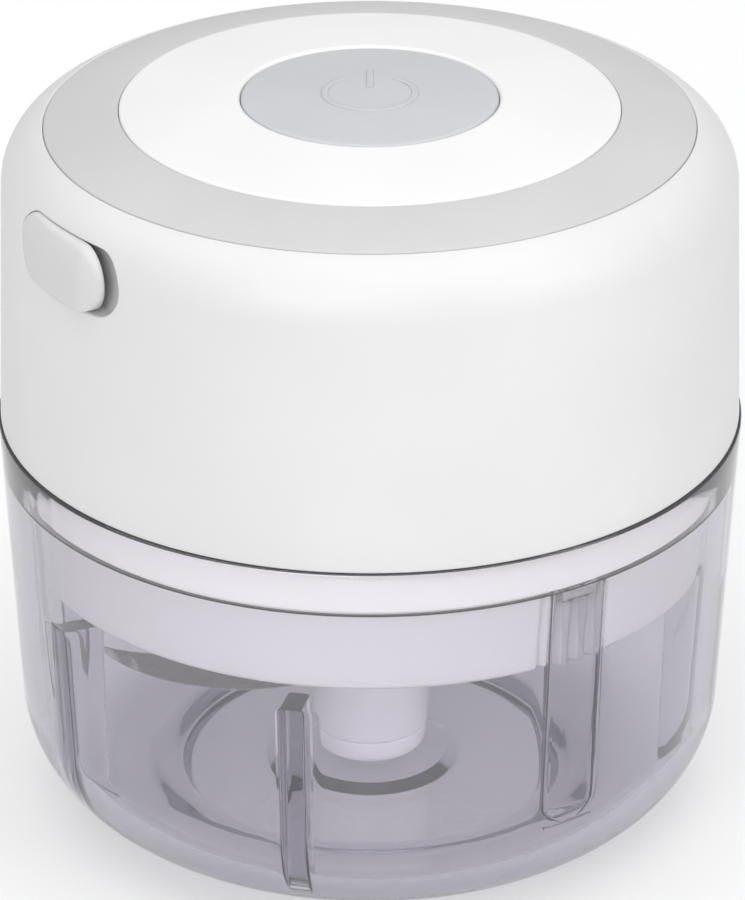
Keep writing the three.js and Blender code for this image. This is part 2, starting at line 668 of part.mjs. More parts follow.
// Battery, board and small electrics.
const cellHalf = cell.length / 2;
const cellShoulder = cellHalf - cell.buttonHeight;
add('battery_cell', turned([
  [0, -cellHalf],
  [cell.radius - cell.edge, -cellHalf],
  [cell.radius, cell.edge - cellHalf],
  [cell.radius, cellShoulder - cell.edge],
  [cell.radius - cell.edge, cellShoulder],
  [cell.button, cellShoulder],
  [cell.button, cellHalf],
  [0, cellHalf],
]).rotateX(Math.PI / 2).translate(cell.x, 0, cell.height), cellWrap);

// A base plate with two saddles that hold the cell by its lower half.
function batteryCradle() {
  const foot = floorTop + clearance;
  const halfWidth = cell.radius + cradle.side;
  let body = solid(box([cell.x - cradle.halfWidth, -cradle.halfLength, foot],
    [cell.x + cradle.halfWidth, cradle.halfLength, foot + cradle.base]));
  for (const y of [-cradle.saddle, cradle.saddle]) {
    const saddle = box([cell.x - halfWidth, y - cradle.saddleWidth / 2, foot + cradle.base / 2],
      [cell.x + halfWidth, y + cradle.saddleWidth / 2, cell.height]);
    body = body.add(solid(saddle));
  }
  const bed = rod(cell.radius + clearance, -cellHalf, cellHalf, motorSegments);
  return body.subtract(solid(bed.rotateX(Math.PI / 2).translate(cell.x, 0, cell.height)));
}
add('battery_cradle', batteryCradle(), blackPlastic);

const boardTop = board.bottom + board.thickness;
function controlBoard() {
  let body = solid(box([board.low, -board.halfWidth, board.bottom], [board.high, board.halfWidth, boardTop]));
  for (const [x, y] of boardBosses) {
    const hole = rod(boardBoss.pilot + joinGap, board.bottom - cutMargin, boardTop + cutMargin);
    body = body.subtract(solid(hole.translate(x, y, 0)));
  }
  return body;
}
add('control_board', controlBoard(), boardGreen);

const switchHalf = tactSwitch.width / 2;
const switchBody = boardTop + tactSwitch.body;
const switchWell = rod(tactSwitch.plunger + clearance, boardTop + 2 * clearance, switchBody + cutMargin);
const switchCase = box([-switchHalf, -switchHalf, boardTop + joinGap], [switchHalf, switchHalf, switchBody]);
add('tact_switch', solid(switchCase).subtract(solid(switchWell)), blackPlastic);
add('switch_plunger', rod(tactSwitch.plunger, switchTop - tactSwitch.reach, switchTop), blackPlastic);

// A drawn metal shell, open towards -X, round a contact tongue.
function chargeSocket() {
  const halfWidth = port.socketWidth / 2;
  const halfHeight = port.socketHeight / 2;
  const front = -port.recessFloor + 2 * clearance;
  const back = front + port.socketLength;
  const wall = port.socketWall;
  const shell = box([front, -halfWidth, port.height - halfHeight],
    [back, halfWidth, port.height + halfHeight]);
  const mouth = box([front - cutMargin, wall - halfWidth, port.height - halfHeight + wall],
    [back - 3 * wall, halfWidth - wall, port.height + halfHeight - wall]);
  const tongue = box([front + 2 * wall, -port.tongueHalf, port.height - wall],
    [back - 2 * wall, port.tongueHalf, port.height + wall]);
  return solid(shell).subtract(solid(mouth)).add(solid(tongue)).translate([0, port.middle, 0]);
}
add('charge_socket', chargeSocket(), steel);

const sensorBack = cover.keyDepth + cover.wall + 2 * clearance - cover.topRadius;
add('interlock_sensor', box([-sensor.width / 2, sensorBack, sensor.bottom],
  [sensor.width / 2, sensorBack + sensor.depth, sensor.top]), blackPlastic);

// A lead is a round insulated wire along a smooth curve between two contacts.
function lead(stops, radius = 0.7, steps = 10) {
  const path = new THREE.CatmullRomCurve3(stops.map((stop) => new THREE.Vector3(...stop)));
  const section = new THREE.Shape();
  section.absarc(0, 0, radius, 0, 2 * Math.PI, false);
  const settings = { steps, extrudePath: path, curveSegments: 3, bevelEnabled: false };
  return new THREE.ExtrudeGeometry(section, settings);
}
const underBoard = board.bottom - 2 * clearance;
const cellEnd = cellHalf + clearance;
const bellTerminal = motor.bellTop + 2 * clearance;
for (const [colour, side, material] of [['red', 1, redLead], ['black', -1, blackLead]]) {
  add(`motor_lead_${colour}`, lead([
    [-8.5, 3 * side, bellTerminal],
    [-8.5, 3.2 * side, bellTerminal + 2],
    [-6, 5 * side, 72.5],
    [-6, 5.2 * side, underBoard],
  ]), material);
  add(`battery_lead_${colour}`, lead([
    [cell.x, cellEnd * side, cell.height],
    [cell.x, (cellEnd + 2) * side, cell.height + 1],
    [17, 24 * side, 68],
    [8, 9 * side, underBoard - 3],
    [8, 9 * side, underBoard],
  ]), material);
}
add('sensor_lead', lead([
  [0, sensorBack + sensor.depth / 2, sensor.top + clearance],
  [0, -33, 52],
  [-5, -22, 64],
  [-10, -11, underBoard - 4],
  [-10, -11, underBoard],
]), greyLead);

export default product;
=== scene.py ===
from math import acos, asin, atan, cos, degrees, pi, radians, sin, sqrt, tan

import bmesh
import bpy
from mathutils import Matrix, Vector


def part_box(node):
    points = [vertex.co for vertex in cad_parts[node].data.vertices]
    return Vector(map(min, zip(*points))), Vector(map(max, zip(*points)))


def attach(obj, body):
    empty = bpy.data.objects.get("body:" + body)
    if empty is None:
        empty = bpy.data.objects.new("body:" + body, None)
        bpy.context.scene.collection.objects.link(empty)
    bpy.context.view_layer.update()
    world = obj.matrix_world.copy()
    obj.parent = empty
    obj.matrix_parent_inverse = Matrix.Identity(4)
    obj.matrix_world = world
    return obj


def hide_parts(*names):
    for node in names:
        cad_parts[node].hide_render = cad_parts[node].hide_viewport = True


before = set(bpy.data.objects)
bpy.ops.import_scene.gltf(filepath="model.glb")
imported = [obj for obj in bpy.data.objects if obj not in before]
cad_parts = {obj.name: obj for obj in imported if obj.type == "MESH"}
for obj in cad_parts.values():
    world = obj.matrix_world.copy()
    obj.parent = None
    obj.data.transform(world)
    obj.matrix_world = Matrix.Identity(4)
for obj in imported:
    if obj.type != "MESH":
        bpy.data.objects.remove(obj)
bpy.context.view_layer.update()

mm = 0.001


def lowOf(node):
    return [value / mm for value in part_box(node)[0]]


def highOf(node):
    return [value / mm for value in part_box(node)[1]]


# camera: 34 degrees round to the left of the key rib, a little over 26 degrees up
view = {
    "azimuth": -34.0, "elevation": 26.69, "distance": 549.0, "aimHeight": 42.93, "aimRight": 0.297,
    "lens": 184.95, "sensor": 36, "nearMetres": 0.01, "farMetres": 20,
}


def makeCamera():
    turn, tilt = radians(view["azimuth"]), radians(view["elevation"])
    back = Vector((sin(turn) * cos(tilt), -cos(turn) * cos(tilt), sin(tilt)))
    right = Vector((cos(turn), sin(turn), 0))
    aim = (right * view["aimRight"] + Vector((0, 0, view["aimHeight"]))) * mm
    lens = bpy.data.cameras.new("camera")
    lens.sensor_width = view["sensor"]
    lens.lens = view["lens"]
    lens.clip_start = view["nearMetres"]
    lens.clip_end = view["farMetres"]
    camera = bpy.data.objects.new("camera", lens)
    camera.location = aim + back * view["distance"] * mm
    camera.rotation_euler = back.to_track_quat("Z", "Y").to_euler()
    bpy.context.scene.collection.objects.link(camera)
    bpy.context.scene.camera = camera


makeCamera()
print("camera set")


def toLinear(hexColor):
    channels = [int(hexColor[i:i + 2], 16) / 255 for i in (1, 3, 5)]
    return [c / 12.92 if c <= 0.04045 else ((c + 0.055) / 1.055) ** 2.4 for c in channels] + [1.0]


def addNode(tree, kind, settings=None, links=None, values=None):
    node = tree.nodes.new(kind)
    for name, value in (settings or {}).items():
        setattr(node, name, value)
    for name, value in (values or {}).items():
        node.inputs[name].default_value = value
    for name, source in (links or {}).items():
        tree.links.new(source, node.inputs[name])
    return node


def startMaterial(name):
    material = bpy.data.materials.new(name)
    material.use_nodes = True
    material.node_tree.nodes.clear()
    return material, material.node_tree


# noise fixed to the piece, with its grain in mm, optionally stretched along an axis
def noiseOf(tree, grainMm, detail, stretch=None):
    coords = addNode(tree, "ShaderNodeTexCoord").outputs["Object"]
    if stretch:
        stretched = addNode(tree, "ShaderNodeMapping", links={"Vector": coords}, values={"Scale": stretch})
        coords = stretched.outputs["Vector"]
    noise = addNode(tree, "ShaderNodeTexNoise", links={"Vector": coords},
                    values={"Scale": 1 / (grainMm * mm), "Detail": detail})
    return noise.outputs["Fac"]


# the noise's middle levels run from the deep shade to the pale one
def shadeOf(tree, noise, look):
    shade = addNode(tree, "ShaderNodeValToRGB", links={"Fac": noise})
    stops = ((0.3, look["deep"]), (0.7, look["pale"]))
    for element, (position, color) in zip(shade.color_ramp.elements, stops):
        element.position = position
        element.color = toLinear(color)
    return shade.outputs["Color"]


def glossOf(tree, noise, look):
    gloss = addNode(tree, "ShaderNodeMapRange", links={"Value": noise},
                    values={"To Min": look["roughness"] - look["glossRange"],
                            "To Max": look["roughness"] + look["glossRange"]})
    return gloss.outputs["Result"]


def bumpOf(tree, noise, look):
    bump = addNode(tree, "ShaderNodeBump", links={"Height": noise},
                   values={"Strength": look["bump"], "Distance": look["depthMm"] * mm})
    return bump.outputs["Normal"]


# a moulded plastic: a fine spark-eroded grain in the bump, slow changes of gloss and shade
def mouldedPlastic(name, look):
    material, tree = startMaterial(name)
    flow = noiseOf(tree, look["flowMm"], 3)
    grain = noiseOf(tree, look["grainMm"], 2)
    shader = addNode(
        tree, "ShaderNodeBsdfPrincipled",
        links={"Base Color": shadeOf(tree, flow, look), "Roughness": glossOf(tree, flow, look),
               "Normal": bumpOf(tree, grain, look)},
        values={"IOR": look["ior"], "Subsurface Weight": look["soft"],
                "Subsurface Radius": look["softColors"], "Subsurface Scale": look["softMm"] * mm,
                "Coat Weight": look["coat"], "Coat Roughness": look["coatRoughness"]})
    addNode(tree, "ShaderNodeOutputMaterial", links={"Surface": shader.outputs["BSDF"]})
    return material


# a metal: fine directional scratches from grinding, or a plain cast surface
def workedMetal(name, look):
    material, tree = startMaterial(name)
    grind = noiseOf(tree, look["grindMm"], 4, look["stretch"])
    shader = addNode(
        tree, "ShaderNodeBsdfPrincipled", values={"Metallic": 1},
        links={"Base Color": shadeOf(tree, grind, look), "Roughness": glossOf(tree, grind, look),
               "Normal": bumpOf(tree, grind, look)})
    addNode(tree, "ShaderNodeOutputMaterial", links={"Surface": shader.outputs["BSDF"]})
    return material


# clear polycarbonate: polished, slightly wavy from the mould, lavender where it is thick
polycarbonateLook = {
    "tint": "#FEFDFF", "clear": 0.965, "ior": 1.585, "roughness": 0.02,
    "waveMm": 14.0, "depthMm": 0.25, "bump": 0.12, "absorb": "#A09BB2", "density": 150.0,
}


def clearPolycarbonate(look):
    material, tree = startMaterial("clear_polycarbonate")
    wave = noiseOf(tree, look["waveMm"], 1)
    shader = addNode(tree, "ShaderNodeBsdfPrincipled", links={"Normal": bumpOf(tree, wave, look)},
                     values={"Base Color": toLinear(look["tint"]), "Roughness": look["roughness"],
                             "IOR": look["ior"], "Transmission Weight": look["clear"]})
    inside = addNode(tree, "ShaderNodeVolumeAbsorption",
                     values={"Color": toLinear(look["absorb"]), "Density": look["density"]})
    # lamps shine through, as they do through a thin clear wall
    rays = addNode(tree, "ShaderNodeLightPath")
    passing = addNode(tree, "ShaderNodeBsdfTransparent")
    surface = addNode(tree, "ShaderNodeMixShader",
                      links={0: rays.outputs["Is Shadow Ray"], 1: shader.outputs["BSDF"],
                             2: passing.outputs["BSDF"]})
    addNode(tree, "ShaderNodeOutputMaterial",
            links={"Surface": surface.outputs["Shader"], "Volume": inside.outputs["Volume"]})
    return material


plasticLooks = {
    # the housing, the disc and the cup under the head are one white ABS in copies shaded for the light: the
    # housing's white is painted darker than the disc's, as painted shade that keeps its lamp-lit shoulder
    # below full white
    "satin_white_abs_painted_shade": {"deep": "#D2D2D2", "pale": "#D5D5D5", "roughness": 0.46, "glossRange": 0.04},
    "white_abs_disc": {"deep": "#E0E0E0", "pale": "#E3E3E3", "roughness": 0.46, "glossRange": 0.04},
    # the cup's white is painted far lighter than the housing's, as painted light standing in for the light
    # that the clear bowl round it holds back
    "white_abs_cover_painted_light": {"deep": "#FAF9F5", "pale": "#FCFBF8", "roughness": 0.42, "glossRange": 0.04},
    "grey_soft_touch_trim": {"deep": "#BDBDBD", "pale": "#C1C1C1", "roughness": 0.6, "glossRange": 0.04},
    "blue_grey_silicone": {"deep": "#B7B9BD", "pale": "#BCBEC2", "roughness": 0.52, "glossRange": 0.04,
                           "soft": 0.25, "softMm": 1.5},
    "grey_tpe": {"deep": "#C8C8C8", "pale": "#CECECE", "roughness": 0.66, "glossRange": 0.05, "soft": 0.15},
    "polished_pearl_abs": {"deep": "#FCFBFD", "pale": "#FEFDFE", "roughness": 0.16, "glossRange": 0.03,
                           "bump": 0.02, "coat": 0.4},
    "natural_nylon": {"deep": "#E6E4DC", "pale": "#EFEDE6", "roughness": 0.5, "glossRange": 0.05,
                      "soft": 0.3},
    "black_nylon": {"deep": "#1E1F21", "pale": "#2A2B2E", "roughness": 0.5, "glossRange": 0.06},
    "black_nitrile_rubber": {"deep": "#161616", "pale": "#232323", "roughness": 0.75, "glossRange": 0.05},
    "green_solder_mask": {"deep": "#14502F", "pale": "#1C6A40", "roughness": 0.35, "glossRange": 0.05},
    "blue_pvc_sleeve": {"deep": "#2C5C9C", "pale": "#356BB2", "roughness": 0.3, "glossRange": 0.04},
    "red_pvc_insulation": {"deep": "#A22621", "pale": "#BC342E", "roughness": 0.4, "glossRange": 0.04},
    "black_pvc_insulation": {"deep": "#18181A", "pale": "#242427", "roughness": 0.4, "glossRange": 0.04},
    "grey_pvc_insulation": {"deep": "#7E8186", "pale": "#909398", "roughness": 0.4, "glossRange": 0.04},
    "dark_ferrite": {"deep": "#2E2E31", "pale": "#3C3C40", "roughness": 0.7, "glossRange": 0.08,
                     "bump": 0.3},
}
plasticDefaults = {
    "flowMm": 18.0, "grainMm": 0.35, "depthMm": 0.02, "bump": 0.12, "ior": 1.5,
    "soft": 0.08, "softMm": 0.8, "softColors": (1.0, 0.95, 0.9), "coat": 0, "coatRoughness": 0.1,
}
metalLooks = {
    "ground_stainless_steel": {"deep": "#A8A6A4", "pale": "#C4C2C0", "roughness": 0.26, "grindMm": 0.5,
                               "stretch": (1, 12, 1)},
    "zinc_plated_steel": {"deep": "#A9ACB0", "pale": "#C2C4C7", "roughness": 0.36, "grindMm": 1.5},
    "bright_nickel": {"deep": "#C4C3C0", "pale": "#DAD9D6", "roughness": 0.2, "grindMm": 0.6},
    "sintered_bronze": {"deep": "#97763F", "pale": "#B4935A", "roughness": 0.45, "grindMm": 0.3},
    "enamelled_copper": {"deep": "#8C4A24", "pale": "#B5683A", "roughness": 0.35, "grindMm": 0.4,
                         "stretch": (1, 1, 10)},
}
metalDefaults = {"glossRange": 0.06, "bump": 0.15, "depthMm": 0.01, "stretch": (1, 1, 1)}

finishes = {"clear_polycarbonate": clearPolycarbonate(polycarbonateLook)}
for finishName, finishLook in plasticLooks.items():
    finishes[finishName] = mouldedPlastic(finishName, {**plasticDefaults, **finishLook})
for finishName, finishLook in metalLooks.items():
    finishes[finishName] = workedMetal(finishName, {**metalDefaults, **finishLook})
print("materials made")


weldDistance = 0.002 * mm


def addPiece(name, points, faces, finish, body, slotName, replaced=(), crease=35):
    mesh = bpy.data.meshes.new(name)
    mesh.from_pydata([[value * mm for value in point] for point in points], [], faces)
    work = bmesh.new()
    work.from_mesh(mesh)
    bmesh.ops.remove_doubles(work, verts=work.verts, dist=weldDistance)
    bmesh.ops.recalc_face_normals(work, faces=work.faces)
    work.to_mesh(mesh)
    work.free()
    mesh.shade_smooth()
    mesh.set_sharp_from_angle(angle=radians(crease))
    mesh.materials.append(finishes[finish])
    piece = bpy.data.objects.new(name, mesh)
    bpy.context.scene.collection.objects.link(piece)
    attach(piece, body)
    if replaced:
        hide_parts(*replaced)
    return piece


# an outline whose corners (radius, height, rounding) become short arcs
def softened(corners, steps=5):
    outline = []
    last = len(corners) - 1
    for index, (radius, height, rounding) in enumerate(corners):
        here = Vector((radius, height))
        if rounding == 0 or index in (0, last):
            outline.append((radius, height))
            continue
        before = (Vector(corners[index - 1][:2]) - here).normalized()
        after = (Vector(corners[index + 1][:2]) - here).normalized()
        half = acos(max(-1, min(1, before.dot(after)))) / 2
        centre = here + (before + after).normalized() * rounding / sin(half)
        start = here + before * rounding / tan(half) - centre
        sweep = start.angle_signed(here + after * rounding / tan(half) - centre)
        for step in range(steps + 1):
            spoke = Matrix.Rotation(-sweep * step / steps, 2) @ start
            outline.append(tuple(centre + spoke))
    return outline


def spread(first, last, steps):
    return [first + (last - first) * step / steps for step in range(steps + 1)]


def polar(radius, turnDegrees):
    return radius * cos(radians(turnDegrees)), radius * sin(radians(turnDegrees))


def arcPoints(centre, radius, fromDegrees, toDegrees, steps):
    reaches = [polar(radius, angle) for angle in spread(fromDegrees, toDegrees, steps)]
    return [(centre[0] + x, centre[1] + y) for x, y in reaches]


# quads between rings of `count` points each; in a loop the last ring joins the first
def joinRings(rings, count, loop=False):
    faces = []
    for ring in range(rings if loop else rings - 1):
        below, above = ring * count, (ring + 1) % rings * count
        for step in range(count):
            after = (step + 1) % count
            faces.append((below + step, below + after, above + after, above + step))
    return faces


# how many segments go round the trim, the wall, the hub, the hexagons and the small parts
topSegments, wallSegments, hubSegments, hexSegments, smallSegments = 256, 192, 128, 96, 64


# a surface turned round the axis from an outline; it closes on itself or ends on the axis
def turned(outline, segments=wallSegments, loop=False):
    points = [
        (radius * cos(2 * pi * turn / segments), radius * sin(2 * pi * turn / segments), height)
        for radius, height in outline for turn in range(segments)
    ]
    return points, joinRings(len(outline), segments, loop)


# a turned surface with ribs or keyways: each row is (radius, height, whether ribs lift off it),
# and each rib's stations are (offset across it, share of its lift, whether in its pocket)
def ribbed(rows, ribs, plainDegrees=2.5, measureRadius=40.0):
    columns = []
    for rib in ribs:
        for offset, lift, pocket in rib["stations"]:
            turn = (rib["angle"] + degrees(asin(offset / measureRadius))) % 360
            columns.append((turn, rib, offset, lift, pocket))
    columns.sort(key=lambda column: column[0])
    filled = []
    for index, column in enumerate(columns):
        filled.append(column)
        last = index == len(columns) - 1
        gap = columns[(index + 1) % len(columns)][0] + (360 if last else 0) - column[0]
        plain = int(gap / plainDegrees)
        for step in range(1, plain + 1):
            filled.append((column[0] + gap * step / (plain + 1), None, 0, 0, False))
    points = []
    for radius, height, lifts in rows:
        for angle, rib, offset, lift, pocket in filled:
            crest = rib["crest"](radius, height, pocket) if lifts and rib else None
            if not crest:
                points.append((*polar(radius, angle), height))
                continue
            edge, top, narrow = crest
            turn = radians(rib["angle"])
            across = offset * narrow
            along = sqrt(radius ** 2 - across ** 2) + (edge - radius) * lift
            x, y = along * cos(turn) - across * sin(turn), along * sin(turn) + across * cos(turn)
            points.append((x, y, height + (top - height) * lift))
    return points, joinRings(len(rows), len(filled))


# the bowl in mm; fins and the key rib are measured by the radius of their inner edges
bowlShape = {
    "rimRadius": highOf("bowl")[0], "rimHeight": highOf("bowl")[2], "rimRound": 0.3, "draft": 0.0485,
    "corner": 14.3, "wall": 2.6, "lip": 1.9, "ledge": 43.6, "ledgeRadius": 40.9,
    "footInner": 23.5, "footRise": 0.7, "footEdge": 1.6,
    "beadInner": 22.2, "beadRise": 0.9, "boss": 9.2, "bossTop": 3.3,
    "finPairs": (46.5, 93.5, 137), "finHalf": 1.2, "finTop": 30.5, "finEdgeTop": 35.7, "finEdgeFoot": 35.2,
    "keyHalf": 3.25, "keyTop": 39.3, "keyFoot": 38.6, "keyEnd": 12.4, "keyRound": 2.6,
    "pocketHalf": 2.25, "pocketBack": 40.55, "pocketFloor": 41.9,
}


def bowlOutside(shape, cornerX):
    outside = softened([
        (0, shape["footRise"], 0),
        (shape["footInner"] - shape["footEdge"], shape["footRise"], 1.0),
        (shape["footInner"], 0, 0.9),
        (cornerX, 0, 0),
    ])
    outside += arcPoints((cornerX, shape["corner"]), shape["corner"], -90, 0, 20)[1:]
    foot = outside[-1]
    for share in (0.1, 0.2, 0.35, 0.5, 0.65, 0.8, 0.93):
        outside.append((foot[0] + (shape["rimRadius"] - foot[0]) * share,
                        foot[1] + (shape["rimHeight"] - foot[1]) * share))
    lipInner = shape["rimRadius"] - shape["lip"]
    return outside + softened([
        (shape["rimRadius"] - 0.1, shape["rimHeight"] - 2, 0),
        (shape["rimRadius"], shape["rimHeight"], shape["rimRound"]),
        (lipInner, shape["rimHeight"], shape["rimRound"]),
        (lipInner, shape["ledge"], 0.35),
        (shape["ledgeRadius"], shape["ledge"], 0.25),
        (shape["ledgeRadius"] - 0.05, shape["ledge"] - 1, 0),
    ])[1:-1]


# the inner wall and the corner under it; rows crowd where the pocket and the fins' tops need them
def bowlInside(shape, cornerX):
    inner = shape["corner"] - shape["wall"]
    innerFoot = cornerX + inner
    aboutPocket = (1.3, 0.7, 0.15, 0.05, -0.05, -0.7, -2.9, -5.9, -8.4)
    aboutFinTop = (1.1, 0.55, 0.35, 0.2, 0.05, -0.15, -0.45, -1, -2)
    heights = [shape["pocketFloor"] + rise for rise in aboutPocket]
    heights += [shape["finTop"] + rise for rise in aboutFinTop]
    heights += [26, 23, 20, 17.5, 16, 15.2]
    slope = (shape["ledgeRadius"] - innerFoot) / (shape["ledge"] - shape["corner"])
    wall = [(innerFoot + slope * (height - shape["corner"]), height) for height in heights]
    angles = [0, 2.2, 4.2, 6, 7.4, 8.6, 9.6, 12, 16, *range(20, 55, 5), 54, 57, 60, 65, 70, 76, 83, 90]
    corner = [polar(inner, angle) for angle in angles]
    return wall + [(cornerX + x, shape["corner"] - y) for x, y in corner]


def bowlFloor(shape, cornerX):
    floor = []
    for radius in spread(cornerX, shape["beadInner"], 14)[1:]:
        share = (cornerX - radius) / (cornerX - shape["beadInner"])
        floor.append((radius, shape["wall"] + shape["beadRise"] * sin(pi * share) ** 2))
    return floor + softened([
        (shape["beadInner"] - 1, shape["wall"], 0),
        (shape["boss"] + 1.8, shape["wall"], 1.4),
        (shape["boss"], shape["bossTop"], 0.8),
        (0, shape["bossTop"], 0),
    ])


def bowlRows(shape):
    wallFoot = shape["rimRadius"] - shape["draft"] * (shape["rimHeight"] - shape["corner"])
    cornerX = wallFoot - shape["corner"]
    rows = [(*at, False) for at in bowlOutside(shape, cornerX)]
    rows += [(*at, True) for at in bowlInside(shape, cornerX)]
    return rows + [(*at, False) for at in bowlFloor(shape, cornerX)]


def finCrest(radius, height, pocket):
    shape = bowlShape
    top = shape["finTop"]
    if height > top + 0.4:
        return None
    slope = (shape["finEdgeTop"] - shape["finEdgeFoot"]) / top
    edge = shape["finEdgeFoot"] + slope * height
    if height > top - 0.6:
        # the rows just under the fin's top run inwards along it and round its corner
        run = (top + 0.4 - height) / 1.0
        inward = min(1, run * 1.15) ** 1.5
        drop = 0.35 * max(0, run - 0.75) / 0.25
        return radius + (edge - radius) * inward, top + 0.05 - drop, 1
    if radius <= edge:
        return None
    return edge, height, 1


def keyCrest(radius, height, pocket):
    shape = bowlShape
    if height < shape["keyEnd"]:
        return None
    share = (shape["ledge"] - height) / (shape["ledge"] - shape["keyEnd"])
    edge = shape["keyTop"] + (shape["keyFoot"] - shape["keyTop"]) * share
    narrow = 1
    if height < shape["keyEnd"] + shape["keyRound"]:
        reach = (shape["keyEnd"] + shape["keyRound"] - height) / shape["keyRound"]
        narrow = sqrt(max(0.02, 1 - reach ** 2))
        edge += (radius - edge) * reach ** 3
    if pocket and height > shape["pocketFloor"]:
        return min(radius, shape["pocketBack"]), height, 1
    return edge, height, narrow


def mirrored(stations):
    left = [(-offset, lift, pocket) for offset, lift, pocket in reversed(stations) if offset > 0]
    return left + stations


def finStations(half):
    return mirrored([
        (0, 1, False), (half * 0.45, 1, False), (half * 0.75, 0.995, False),
        (half * 0.93, 0.975, False), (half, 0.93, False), (half, 0.5, False),
        (half + 0.02, 0.12, False), (half + 0.12, 0.05, False), (half + 0.32, 0.015, False),
        (half + 0.6, 0, False),
    ])


def keyStations(half, pocketHalf):
    return mirrored([
        (0, 1, True), (1.1, 1, True), (pocketHalf - 0.05, 1, True), (pocketHalf, 1, True),
        (pocketHalf + 0.02, 1, False), (pocketHalf + 0.3, 1, False), (half - 0.3, 1, False),
        (half - 0.1, 0.96, False), (half, 0.8, False), (half + 0.03, 0.35, False),
        (half + 0.12, 0.12, False), (half + 0.3, 0.03, False), (half + 0.6, 0, False),
    ])


frontAngle = -90


def makeBowl():
    shape = bowlShape
    stations = keyStations(shape["keyHalf"], shape["pocketHalf"])
    ribs = [{"angle": frontAngle, "stations": stations, "crest": keyCrest}]
    pairs = shape["finPairs"]
    for angle in [*pairs, 180, *[-angle for angle in pairs]]:
        stations = finStations(shape["finHalf"])
        ribs.append({"angle": angle + frontAngle, "stations": stations, "crest": finCrest})
    points, faces = ribbed(bowlRows(shape), ribs)
    addPiece("bowl_shell", points, faces, "clear_polycarbonate", "bowl", "clear_polycarbonate",
             ["bowl"], 50)


makeBowl()


def bevelBlock(low, high, rounding):
    work = bmesh.new()
    bmesh.ops.create_cube(work, size=1)
    for vert in work.verts:
        vert.co = [low[axis] if vert.co[axis] < 0 else high[axis] for axis in range(3)]
    bmesh.ops.bevel(work, geom=work.edges[:], offset=rounding, segments=3, profile=0.5, affect="EDGES")
    points = [tuple(vert.co) for vert in work.verts]
    faces = [[vert.index for vert in face.verts] for face in work.faces]
    work.free()
    return points, faces


magnetRounding = 0.18
addPiece("magnet_block", *bevelBlock(lowOf("interlock_magnet"), highOf("interlock_magnet"), magnetRounding),
         "bright_nickel", "bowl", "nickel", ["interlock_magnet"])
print("bowl made")


pinLow, pinHigh = lowOf("spindle_pin"), highOf("spindle_pin")
pinRadius = pinHigh[0]
addPiece("spindle", *turned(softened([
    (0, pinLow[2], 0), (pinRadius, pinLow[2], 0.2), (pinRadius, pinHigh[2], 0.9), (0, pinHigh[2], 0),
]), smallSegments), "ground_stainless_steel", "bowl", "blade_steel", ["spindle_pin"])


# a hexagon's radius in one direction; its corners are at odd multiples of 30 degrees
def hexRadius(flats, angle):
    return flats / 2 / cos((angle + pi / 6) % (pi / 3) - pi / 6)


# a turned surface in which some rows are hexagons, sized across their flats instead of by radius
def turnedHex(rows, segments=hexSegments):
    points = []
    for size, height, isHex in rows:
        for step in range(segments):
            angle = 2 * pi * step / segments
            radius = hexRadius(size, angle) if isHex else size
            points.append((radius * cos(angle), radius * sin(angle), height))
    return points, joinRings(len(rows), segments)


# the pearl sleeve on the pin: a foot, a sleeve, and a cap with a hexagonal socket
hubShape = {
    "radius": highOf("blade_hub")[0], "footRadius": highOf("hub_foot")[0], "footRound": 1.3, "bore": 4.0,
    "rounding": 0.35, "seam": 0.12, "socket": 7.8, "socketFloor": 23.7, "capRound": 0.6,
}


def makeHub():
    shape = hubShape
    foot = [lowOf("hub_foot")[2], highOf("hub_foot")[2]]
    sleeve = [foot[1] + shape["seam"], lowOf("blade_lower")[2] - shape["seam"]]
    cap = [highOf("blade_upper")[2] + shape["seam"], highOf("hub_cap")[2]]
    radius, bore, rounding = shape["radius"], shape["bore"], shape["rounding"]
    footOutline = softened([
        (bore, foot[0] + 0.3, 0),
        (bore + 0.4, foot[0], 0.2),
        (shape["footRadius"], foot[0], shape["footRound"]),
        (shape["footRadius"], foot[1], 0.3),
        (bore, foot[1], 0),
    ])
    sleeveOutline = softened([
        (bore, sleeve[0], 0),
        (radius, sleeve[0], rounding),
        (radius, sleeve[1], rounding),
        (bore, sleeve[1], 0),
    ])
    for name, outline, node in (("hub_foot_ring", footOutline, "hub_foot"),
                                ("hub_sleeve", sleeveOutline, "blade_hub")):
        addPiece(name, *turned(outline, hubSegments, True), "polished_pearl_abs", "blade_set", "pearl_abs",
                 [node])
    socket, socketFloor = shape["socket"], shape["socketFloor"]
    capOutline = softened([
        (0, cap[0], 0),
        (radius, cap[0], rounding),
        (radius, cap[1], shape["capRound"]),
        (socket / 2 + 1.6, cap[1], 0),
    ])
    rows = [(size, height, False) for size, height in capOutline]
    rows += [
        (socket + 0.7, cap[1], True),
        (socket + 0.25, cap[1] - 0.12, True),
        (socket, cap[1] - 0.45, True),
        (socket, socketFloor + 0.3, True),
        (socket - 0.5, socketFloor, True),
        (0, socketFloor, False),
    ]
    addPiece("hub_socket_cap", *turnedHex(rows), "polished_pearl_abs", "blade_set", "pearl_abs",
             ["hub_cap"])


makeHub()

# the blades in mm and degrees; each pull is a bezier handle as (radius, angle)
bladeShape = {
    "root": 5.6, "rootStart": 232, "rootEnd": 150, "tipRadius": 32.4, "tipAngle": 156,
    "outerPull": ((16, 222), (29, 188)), "innerPull": ((25, 168), (15, 176)),
    "bevel": 2.2, "edge": 0.12, "ring": 6.6, "hole": 4.5, "steps": 40,
}


def bezier(ends, share):
    rest = 1 - share
    weights = (rest ** 3, 3 * rest ** 2 * share, 3 * rest * share ** 2, share ** 3)
    return Vector([sum(weight * end[axis] for weight, end in zip(weights, ends)) for axis in (0, 1)])


